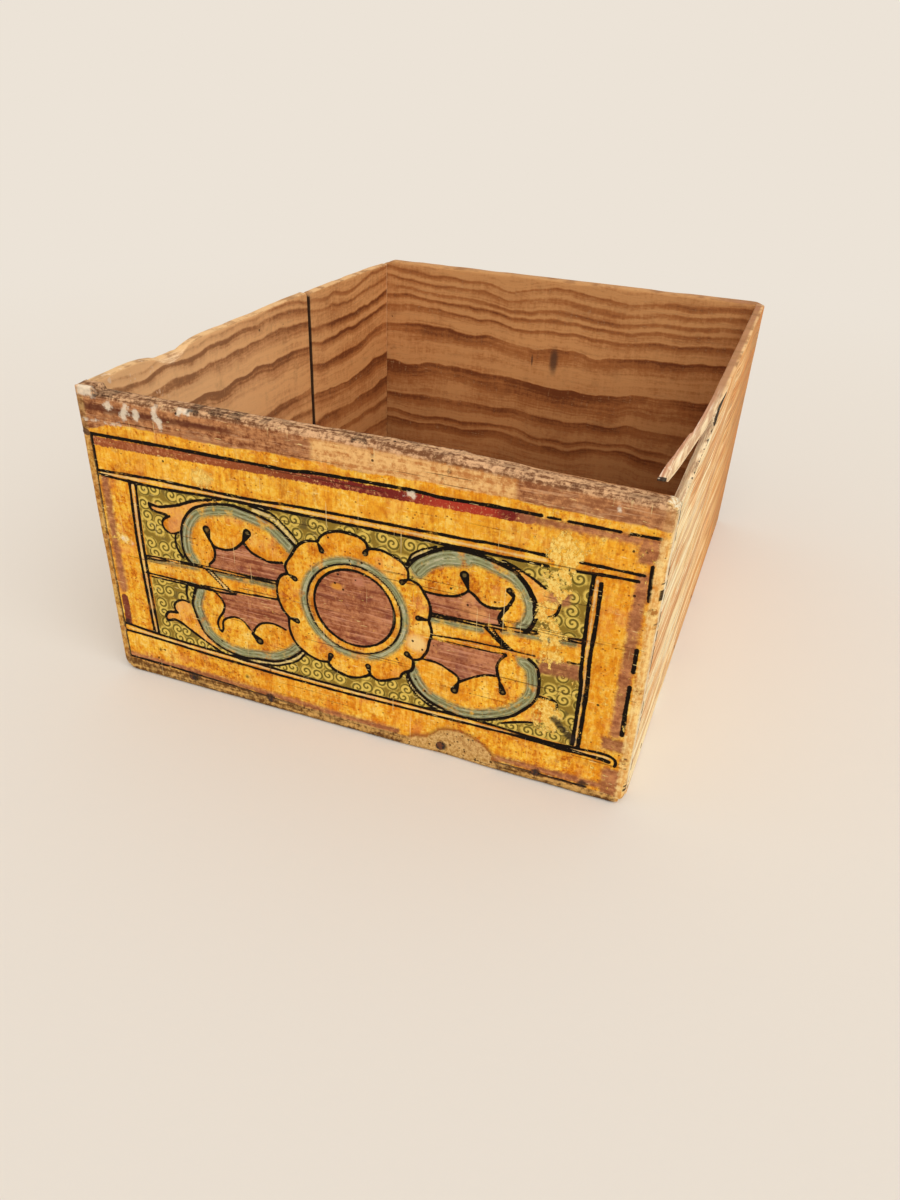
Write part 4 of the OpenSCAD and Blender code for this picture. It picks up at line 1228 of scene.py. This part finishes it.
def make_front(paint, wood, wear):
    """The painted board: dense enough to carry the drawn ornament, with every edge worn round."""
    low, high = FRONT_LOW, FRONT_HIGH
    width, depth, height = high - low
    across, upward = (np.linspace(0, size, round(size / FRONT_CELL) + 1) for size in (width, height))
    board = Board(across, upward, depth * np.array(FRONT_ROWS), fine_face=True)
    flat = board.flat
    to_top, to_foot = height - flat[:, 1], flat[:, 1]
    to_left, to_right = flat[:, 0], width - flat[:, 0]
    ear = unit((EAR_WIDTH + 0.5 - to_left) / 0.8)
    top = wear.top / MM * (1 - 0.75 * ear)
    nearest = np.argmin([to_top, to_foot, to_left, to_right], axis=0)
    radii = np.choose(nearest, [top, *(size / MM + 0 * top for size in (wear.foot, wear.left, wear.right))])
    inner = unit(flat[:, 2] / depth)
    radii = radii * (1 - 0.8 * inner**2) * (1 + 0.25 * rough_at(flat, 18, 1))
    placed = board.rounded(radii)
    along = (flat[:, 0] - width / 2) / (width / 2)
    shares, losses = np.array(FRONT_RIM).T
    loss = (EAR_RISE + np.interp(along, shares, losses)) * (1 - ear)
    chips = rough_along(flat[:, 0], flat[:, 2] * 3, 9, 2)
    nicks = rough_along(flat[:, 0], flat[:, 2] * 2, 3.5, 6)
    loss += 0.6 * unit(chips) + 0.5 * unit(nicks - 0.1)
    near_top = unit(1 - to_top / RIM_REACH)
    placed[:, 1] -= loss * near_top
    for side, sign, radius in ((to_left, 1, FOOT_LEFT), (to_right, -1, FOOT_RIGHT)):
        across, up = corner_shift(side, to_foot, radius)
        placed[:, 0] += sign * across
        placed[:, 1] += up
    across, up = corner_shift(to_right, to_top, TOP_RIGHT)
    placed[:, 0] -= across
    placed[:, 1] -= up
    dish = bite(flat[:, 0], width / 2 + DISH_AT, DISH_HALF, 1) * unit(1 - flat[:, 1] / DISH_UP) ** 0.5
    front_side = unit(1 - flat[:, 2] / 2.5)
    dents = 0.12 * unit(rough_at(flat, 7, 3)) + 0.1 * unit(rough_at(flat, 30, 4))
    placed[:, 2] += front_side * (DISH_DEEP * dish + dents)
    world = placed[:, ALONG_X] + low
    points = world[:, [0, 2]]
    fields = {**paint_fields(points), **wear_fields(points)}
    material = painted_finish(paint, wood)
    return board.finish("front_board_painted", world, fields, material, ["front_board"], "painted_front")


WALL_CELL = 2.2
BOTTOM_CELL = 3


def plain_board(size, cell):
    """A board of a length, height and thickness with rows close together along its edges."""
    length, height, depth = size
    through = [0, 0.4, 1, depth / 2, depth - 1, depth - 0.4, depth]
    return Board(places(length, EDGE_ROWS, cell), places(height, EDGE_ROWS, cell), through)


def wall_fields(board, broken=0, split=0, crack=0):
    """What a wall's finish reads: depth below the rim, and where it is torn, freshly split or cracked."""
    level = board.flat[:, 1]
    marks = {"broken": broken, "split": split, "crack": crack}
    return {"top": level.max() - level, **{key: value + 0 * level for key, value in marks.items()}}


def worn_edges(board, radius, seed):
    """A plain board with rounded, unevenly rubbed edges."""
    uneven = 1 + 0.5 * rough_at(board.flat, 14, seed)
    return board.rounded(radius * np.clip(uneven, 0.4, 1.8))


# Rubbed upper corners of the back: share of the width, half length and drop
BACK_BITES = [(1, 6, 1.6), (0, 9, 2.6)]


def make_back(wood, wear):
    """The bare back board, its rim rubbed lower at both corners."""
    low, high = BACK_LOW, BACK_HIGH
    width, depth, height = high - low
    board = plain_board((width, height, depth), WALL_CELL)
    placed = worn_edges(board, 1.4 * wear.edge / MM, 11)
    flat = board.flat
    loss = 0.7 * unit(rough_along(flat[:, 0], flat[:, 2], 16, 12))
    for share, half, drop in BACK_BITES:
        loss += bite(flat[:, 0], share * width, half, drop)
    placed[:, 1] -= loss * unit(1 - (height - flat[:, 1]) / 10)
    world = placed[:, ALONG_X] + low
    behind = low[1] + depth * 0.6
    # Painted shade on the back: a little darker all over, and more toward the bottom
    material = pine_finish(
        "back_pine", wood, "X", BACK_LINES, 1,
        lambda f: (f.y - behind).rise(0, 1.2).most((f.x.size() - high[0] + 1.2).rise(0, 0.6)),
        lambda f: 0.25 + f.z.rise(110, 10) * 0.4, BACK_SPOTS)
    return board.finish("back_board_pine", world, wall_fields(board), material, ["back_board"], "pine")


# Left rims: share of each board's length from its front end, and height lost there
LEFT_RIM = [(0, 2.3), (0.15, 1.3), (0.47, 1), (0.74, 0.6), (0.88, 0), (1, 0)]
REAR_RIM = [(0, 0), (0.45, 0.1), (0.78, 0.5), (1, 1.3)]
# Chip in the left rim and the scoop inside it: from the front, half length, drop and how far in
CHIP_AT, CHIP_HALF, CHIP_DEPTH = 67.0, 31.0, 3.2
CHIP_NICKS = [(0, CHIP_HALF, CHIP_DEPTH), (9, 4, 0.5), (-9, 5, 0.5)]
SCOOP_HALF, SCOOP_DROP, SCOOP_IN = 16.0, 3.6, 2.5


def make_left(wood, wear, node, name, lines, rim, seed):
    """One length of the left wall, with its worn rim; the front one is chipped and scooped inside."""
    low, high = node_box(node)
    depth, length, height = high - low
    board = plain_board((length, height, depth), WALL_CELL)
    flat = board.flat
    placed = worn_edges(board, wear.edge / MM, seed)
    y = flat[:, 0] + low[1]
    shares, losses = np.array(rim).T
    loss = np.interp(flat[:, 0] / length, shares, losses)
    loss += 0.5 * unit(rough_along(y, flat[:, 2], 13, seed + 1))
    loss += 1.6 * unit(1 - (np.abs(y - JOINT_Y) - JOINT_GAP / 2) / 1.6)
    broken = 0 * y
    if node == "left_wall_front":
        chip = FRONT_LOW[1] + CHIP_AT
        for shift, half, drop in CHIP_NICKS:
            loss += bite(y, chip + shift, half, drop)
        inner = unit((flat[:, 2] - depth + SCOOP_IN) / SCOOP_IN)
        scoop = bite(y, chip, SCOOP_HALF, 1) * inner
        loss += SCOOP_DROP * scoop
        broken = 0.6 * unit(2 * scoop) * unit(1 - (height - flat[:, 1]) / 3)
    placed[:, 1] -= loss * unit(1 - (height - flat[:, 1]) / 14)
    world = placed[:, ALONG_Y] + low
    # Painted shade on the left wall: darker toward the bottom and toward the back
    material = pine_finish(
        name, wood, "Y", lines, seed,
        lambda f: ((low[0] + depth * 0.4) - f.x).rise(0, 1.2),
        lambda f: f.z.rise(120, 20) * 0.35 + f.y.rise(-40, 160) * 0.14)
    return board.finish(name, world, wall_fields(board, broken, 0.7), material, [node], "pine")


# Split in the right wall: its root from the front, and the slit in the plain sheet it is made from
SPLIT_ROOT = 140.0
SLIT_LOW, SLIT_HIGH = 148.0, 152.0
ROOT_ROWS = [-1.5, -0.6, 0, 0.8, 2]
STRIP_ROWS = [152.6, 153.6, 155, 156.4, 157.4]
# Shares of the way from the split's root to the strip's free end, with heights below the rim
LEDGE_LINE = [(0, 2), (0.22, 3.4), (0.27, 7.6), (0.36, 7), (0.5, 8.4), (0.55, 7.9), (0.8, 9), (1, 8.5)]
STRIP_UNDER = [(0, 2), (0.3, 2.6), (0.42, 4.6), (0.85, 5), (0.96, 4.5), (1, 2.4)]
STRIP_TOP = [(0, 0), (0.9, 0), (1, 1.8)]
CRACK_WIDTH = [(0, 0), (0.06, 1.3), (0.28, 1.3), (0.34, 0.75), (1, 0.7)]
LEDGE_WIDTH, LEDGE_FALL, LEDGE_START = 2.0, 6.0, 0.24
STRIP_STEP, STRIP_THIN, STEP_SHARE = 0.9, 1.8, 0.6


def make_right(wood, wear):
    """The split wall: one sheet with a slit, its upper strip sprung inwards over the broken ledge."""
    low, high = RIGHT_LOW, RIGHT_HIGH
    inner = -LEFT_HIGH[0]
    depth = high[0] - inner
    length, height = high[1] - low[1], high[2]
    root = FRONT_LOW[1] + SPLIT_ROOT - low[1]
    along = np.unique([*places(length, EDGE_ROWS, WALL_CELL), *(root + row for row in ROOT_ROWS)])
    up = np.array([*places(SLIT_LOW, EDGE_ROWS, WALL_CELL), SLIT_HIGH, *STRIP_ROWS, height])
    board = Board(
        along, up, [0, 0.4, 1, depth / 2, depth - LEDGE_WIDTH, depth - 0.4, depth],
        lambda a, u: a < root and SLIT_LOW < u < SLIT_HIGH)
    flat = board.flat
    free = unit((root - flat[:, 0]) / (root - 0.6))

    def below_rim(line):
        return height - np.interp(free, *np.array(line).T)

    behind = unit((flat[:, 0] - root) / 30)
    splits = flat[:, 0] <= root + TINY
    is_strip = flat[:, 1] >= SLIT_HIGH - TINY
    placed = worn_edges(board, 0.7 * wear.edge / MM, 21)
    uneven = rough_along(flat[:, 0] * 0.6, flat[:, 2] * 2, 6, 22)
    inward = unit(1 - flat[:, 2] / (depth - LEDGE_WIDTH))
    fall = LEDGE_FALL * inward * unit((free - LEDGE_START) / 0.03)
    ledge = below_rim(LEDGE_LINE) - fall + 0.6 * np.minimum(uneven, 0)
    whole = 1 - behind
    panel_top = np.where(splits, ledge, SLIT_LOW + (height - 2 - SLIT_LOW) * whole)
    panel_z = placed[:, 1] + (panel_top - SLIT_LOW) * unit(1 - (SLIT_LOW - placed[:, 1]) / 24)
    strip_low = np.where(splits, below_rim(STRIP_UNDER), SLIT_HIGH + (height - 2 - SLIT_HIGH) * whole)
    strip_share = (placed[:, 1] - SLIT_HIGH) / (height - SLIT_HIGH)
    strip_z = strip_low + strip_share * (below_rim(STRIP_TOP) - strip_low)
    z = np.where(is_strip, strip_z, panel_z)
    rim_loss = 0.6 * unit(rough_along(flat[:, 0], flat[:, 2], 15, 23))
    rim_loss += 0.5 * unit(uneven) * splits
    z = z - rim_loss * unit(1 - (height - flat[:, 1]) / 5) * is_strip
    lean = wear.lean / MM * free**2
    step = np.where(free < STEP_SHARE, STRIP_STEP * free / STEP_SHARE, 0)
    thin = STRIP_THIN * np.minimum(1, free / STEP_SHARE)
    through = placed[:, 2] / depth
    strip_x = inner - lean + step + through * (depth - thin - step)
    x = np.where(is_strip & splits, strip_x, inner + placed[:, 2])
    world = np.column_stack([x, placed[:, 0] + low[1], z + low[2]])
    near_slit = np.where(is_strip, SLIT_HIGH + 0.8 - flat[:, 1], flat[:, 1] - SLIT_LOW + 0.8)
    broken = unit(near_slit / 0.8) * splits
    broken = np.maximum(broken, is_strip * splits * unit(free * 2.5))
    # The panel's broken ledge takes the full pale split colour, as painted light
    split = np.where(is_strip, unit((through - 0.45) / 0.25), 1)
    # Painted shade on the right wall: darker toward the bottom
    material = pine_finish(
        "right_wall_pine", wood, "Y", RIGHT_LINES, 5,
        lambda f: (f.x - (inner + depth * 0.6)).rise(0, 1.2),
        lambda f: f.z.rise(120, 20) * 0.4)
    outer = unit((through - 0.55) / 0.3)
    under = np.where(is_strip, 1 - (flat[:, 1] - SLIT_HIGH) / 0.6, 1 - (SLIT_LOW - flat[:, 1]) / 0.8)
    wide = np.interp(free, *np.array(CRACK_WIDTH).T)
    crack = unit(under) * splits * outer * np.where(is_strip, free < 0.3, 1) * wide
    crack = np.maximum(crack, 0.85 * is_strip * unit((free - 0.965) / 0.02))
    fields = wall_fields(board, broken, split, crack)
    return board.finish("right_wall_pine", world, fields, material, ["right_wall"], "pine")


def make_bottom(wood, wear, node, name, seed):
    """One board of the bottom, lying between the walls."""
    low, high = node_box(node)
    width, length, depth = high - low
    board = plain_board((width, length, depth), BOTTOM_CELL)
    placed = worn_edges(board, 0.6 * wear.edge / MM, seed)
    upper = board.flat[:, 2] > depth / 2
    placed[:, 2] -= 0.15 * unit(rough_at(board.flat, 20, seed + 1)) * upper
    world = placed + low
    f = Finish(name)
    slow = f.noise(50, 1, 0.4, f.vector(f.x * 0.3, f.y, seed * 3.0))
    rings = f.noise(7, 2, 0.5, f.vector(f.x * 0.02, f.y + (slow - 0.5) * 30, seed * 5.0)).rise(0.35, 0.7)
    fibre = f.noise(0.9, 3, 0.6, f.vector(f.x * 0.04, f.y, seed * 2.0))
    dust = f.noise(35, 4, 0.6, f.stretched(shift=seed))
    base = f.mix(rings * 0.8, wood.light, wood.dark)
    base = f.mix(fibre.rise(0.5, 0.8) * 0.3, base, (92, 54, 26))
    base = f.mix(dust.rise(0.4, 0.7) * 0.5, base, (112, 84, 58))
    relief = 0.5 + rings * 0.2 + fibre * 0.2
    material = f.done(base, 0.7 + dust * 0.15, f.bump(relief, 0.5))
    return board.finish(name, world, {}, material, [node], "bottom_pine")


# Camera, as found by fitting the box's straight edges in the photo
PHOTO_SIZE = (900, 1200)
FOCAL_PIXELS = 908.065
CAMERA_TURN = 0.345462
CAMERA_TILT = 0.581233
CAMERA_ROLL = 0.0457938
CAMERA_PLACE = (166.248, -494.060, 288.453)
CENTRE_DOWN = 49.575
SENSOR = 36.0


def make_camera():
    """The camera of the photo."""
    data = bpy.data.cameras.new("camera")
    data.sensor_width = SENSOR
    data.lens = SENSOR * FOCAL_PIXELS / PHOTO_SIZE[1]
    data.shift_y = CENTRE_DOWN / PHOTO_SIZE[1]
    data.clip_start = 0.01
    data.clip_end = 60
    level = math.cos(CAMERA_TILT)
    back = Vector((math.sin(CAMERA_TURN) * level, -math.cos(CAMERA_TURN) * level, math.sin(CAMERA_TILT)))
    beside = Vector((0, 0, 1)).cross(back).normalized()
    upward = back.cross(beside)
    right = math.cos(CAMERA_ROLL) * beside + math.sin(CAMERA_ROLL) * upward
    up = math.cos(CAMERA_ROLL) * upward - math.sin(CAMERA_ROLL) * beside
    turn = Matrix((right, up, back)).transposed().to_4x4()
    camera = bpy.data.objects.new("camera", data)
    camera.matrix_world = Matrix.Translation(Vector(CAMERA_PLACE) * MM) @ turn
    bpy.context.scene.collection.objects.link(camera)
    bpy.context.scene.camera = camera


def seen_rays(tree):
    """1 for the rays by which the camera sees a surface, directly or in a reflection or through glass."""
    path = tree.nodes.new("ShaderNodeLightPath")
    share = path.outputs["Is Camera Ray"]
    for ray in ("Is Glossy Ray", "Is Transmission Ray"):
        either = tree.nodes.new("ShaderNodeMath")
        either.operation = "MAXIMUM"
        tree.links.new(share, either.inputs[0])
        tree.links.new(path.outputs[ray], either.inputs[1])
        share = either.outputs[0]
    return share


# Floor: share of its colour that takes the light, where it turns even, and half its size in metres
FLOOR_SHARE = 0.9
FLOOR_NEAR, FLOOR_FAR = 420, 1100
FLOOR_HALF = 20.0


def floor_finish(stage):
    """Plain pale floor that keeps the box's shadow and turns even further off."""
    f = Finish("floor")
    f.done(tuple(FLOOR_SHARE * part for part in stage.floor) + (1,), 0.9, f.bump(f.noise(6, 3), 0.05))
    away = f.reach(f.x, f.y)
    share = away.rise(FLOOR_NEAR, FLOOR_FAR) * Field(f, seen_rays(f.tree))
    glow = f.node("ShaderNodeEmission", None, {"Color": (*stage.floor, 1)})
    mixed = f.node("ShaderNodeMixShader", None, {0: share, 1: Field(f, f.shader.outputs[0]), 2: glow})
    f.tree.links.new(mixed.socket, f.tree.nodes["Material Output"].inputs["Surface"])
    return f.material


def make_floor(stage):
    """A wide pale floor."""
    mesh = bmesh.new()
    bmesh.ops.create_grid(mesh, x_segments=1, y_segments=1, size=FLOOR_HALF)
    data = bpy.data.meshes.new("floor")
    mesh.to_mesh(data)
    mesh.free()
    data.materials.append(floor_finish(stage))
    floor = bpy.data.objects.new("floor", data)
    bpy.context.scene.collection.objects.link(floor)


LIGHT_FROM = (0.45, -0.55, 0.72)
EVEN_COLOUR = (1, 0.98, 0.95, 1)


def make_lights(stage):
    """A soft light from the right front, and even light all round, seen as the floor's colour."""
    lamp = bpy.data.lights.new("soft_light", "SUN")
    lamp.angle = stage.spread
    lamp.energy = stage.light
    light = bpy.data.objects.new("soft_light", lamp)
    light.matrix_world = Vector(LIGHT_FROM).to_track_quat("Z", "Y").to_matrix().to_4x4()
    bpy.context.scene.collection.objects.link(light)
    world = bpy.data.worlds.new("even_light")
    world.use_nodes = True
    tree = world.node_tree
    even = tree.nodes["Background"]
    even.inputs["Color"].default_value = EVEN_COLOUR
    even.inputs["Strength"].default_value = stage.fill
    backdrop = tree.nodes.new("ShaderNodeBackground")
    backdrop.inputs["Color"].default_value = (*stage.floor, 1)
    either = tree.nodes.new("ShaderNodeMixShader")
    tree.links.new(seen_rays(tree), either.inputs[0])
    tree.links.new(even.outputs[0], either.inputs[1])
    tree.links.new(backdrop.outputs[0], either.inputs[2])
    tree.links.new(either.outputs[0], tree.nodes["World Output"].inputs["Surface"])
    bpy.context.scene.world = world
    bpy.context.scene.view_settings.view_transform = "Standard"


# Operators

# CAD node, piece, wood lines, rim and seed of each length of the left wall
LEFT_BOARDS = [
    ("left_wall_front", "left_front_pine", LEFT_LINES, LEFT_RIM, 3),
    ("left_wall_rear", "left_rear_pine", REAR_LINES, REAR_RIM, 8),
]
# CAD node, piece and seed of each bottom board
BOTTOM_BOARDS = [
    ("bottom_board_front", "bottom_front_pine", 14),
    ("bottom_board_rear", "bottom_rear_pine", 17),
]


class BOX_OT_front(bpy.types.Operator):
    """Make the painted front board"""
    bl_idname = "pine_box.front"
    bl_label = "Painted Front"

    def execute(self, context):
        make_front(context.scene.box_paint, context.scene.box_wood, context.scene.box_wear)
        return {"FINISHED"}


class BOX_OT_back(bpy.types.Operator):
    """Make the back board"""
    bl_idname = "pine_box.back"
    bl_label = "Back Board"

    def execute(self, context):
        make_back(context.scene.box_wood, context.scene.box_wear)
        return {"FINISHED"}


class BOX_OT_left(bpy.types.Operator):
    """Make the two lengths of the left wall"""
    bl_idname = "pine_box.left"
    bl_label = "Left Wall"

    def execute(self, context):
        scene = context.scene
        for board in LEFT_BOARDS:
            make_left(scene.box_wood, scene.box_wear, *board)
        return {"FINISHED"}


class BOX_OT_right(bpy.types.Operator):
    """Make the split right wall"""
    bl_idname = "pine_box.right"
    bl_label = "Split Right Wall"

    def execute(self, context):
        make_right(context.scene.box_wood, context.scene.box_wear)
        return {"FINISHED"}


class BOX_OT_bottom(bpy.types.Operator):
    """Make the two bottom boards"""
    bl_idname = "pine_box.bottom"
    bl_label = "Bottom Boards"

    def execute(self, context):
        scene = context.scene
        for board in BOTTOM_BOARDS:
            make_bottom(scene.box_wood, scene.box_wear, *board)
        return {"FINISHED"}


class BOX_OT_nails(bpy.types.Operator):
    """Give the forged nails their rusted iron"""
    bl_idname = "pine_box.nails"
    bl_label = "Forged Nails"

    def execute(self, context):
        scene = context.scene
        iron = iron_finish(scene.box_wood)
        painted = iron_finish(scene.box_wood, scene.box_paint)
        for name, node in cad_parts.items():
            if name.startswith("nails_"):
                node.data.materials.clear()
                node.data.materials.append(painted if name.startswith("nails_front") else iron)
        return {"FINISHED"}


class BOX_OT_stage(bpy.types.Operator):
    """Make the floor, the lights and the camera"""
    bl_idname = "pine_box.stage"
    bl_label = "Stage"

    def execute(self, context):
        make_floor(context.scene.box_stage)
        make_lights(context.scene.box_stage)
        make_camera()
        return {"FINISHED"}


OPERATORS = [
    BOX_OT_front, BOX_OT_back, BOX_OT_left, BOX_OT_right, BOX_OT_bottom, BOX_OT_nails, BOX_OT_stage,
]
GROUPS = {"box_paint": BoxPaint, "box_wood": BoxWood, "box_wear": BoxWear, "box_stage": BoxStage}


class BOX_PT_panel(bpy.types.Panel):
    """Lists the box's pieces and their settings"""
    bl_idname = "BOX_PT_panel"
    bl_label = "Painted Pine Box"
    bl_space_type = "VIEW_3D"
    bl_region_type = "UI"
    bl_category = "Pine Box"

    def draw(self, context):
        for operator in OPERATORS:
            self.layout.operator(operator.bl_idname)
        for name, group in GROUPS.items():
            settings = getattr(context.scene, name)
            for key in group.__annotations__:
                self.layout.prop(settings, key)


def register():
    for group in GROUPS.values():
        bpy.utils.register_class(group)
    for operator in OPERATORS:
        bpy.utils.register_class(operator)
    bpy.utils.register_class(BOX_PT_panel)
    for name, group in GROUPS.items():
        setattr(bpy.types.Scene, name, bpy.props.PointerProperty(type=group))


def unregister():
    for name in GROUPS:
        delattr(bpy.types.Scene, name)
    for item in [BOX_PT_panel, *OPERATORS, *GROUPS.values()]:
        bpy.utils.unregister_class(item)


def main():
    register()
    bpy.ops.pine_box.stage()
    bpy.ops.pine_box.front()
    bpy.ops.pine_box.back()
    bpy.ops.pine_box.left()
    bpy.ops.pine_box.right()
    bpy.ops.pine_box.bottom()
    bpy.ops.pine_box.nails()


if __name__ == "__main__":
    main()
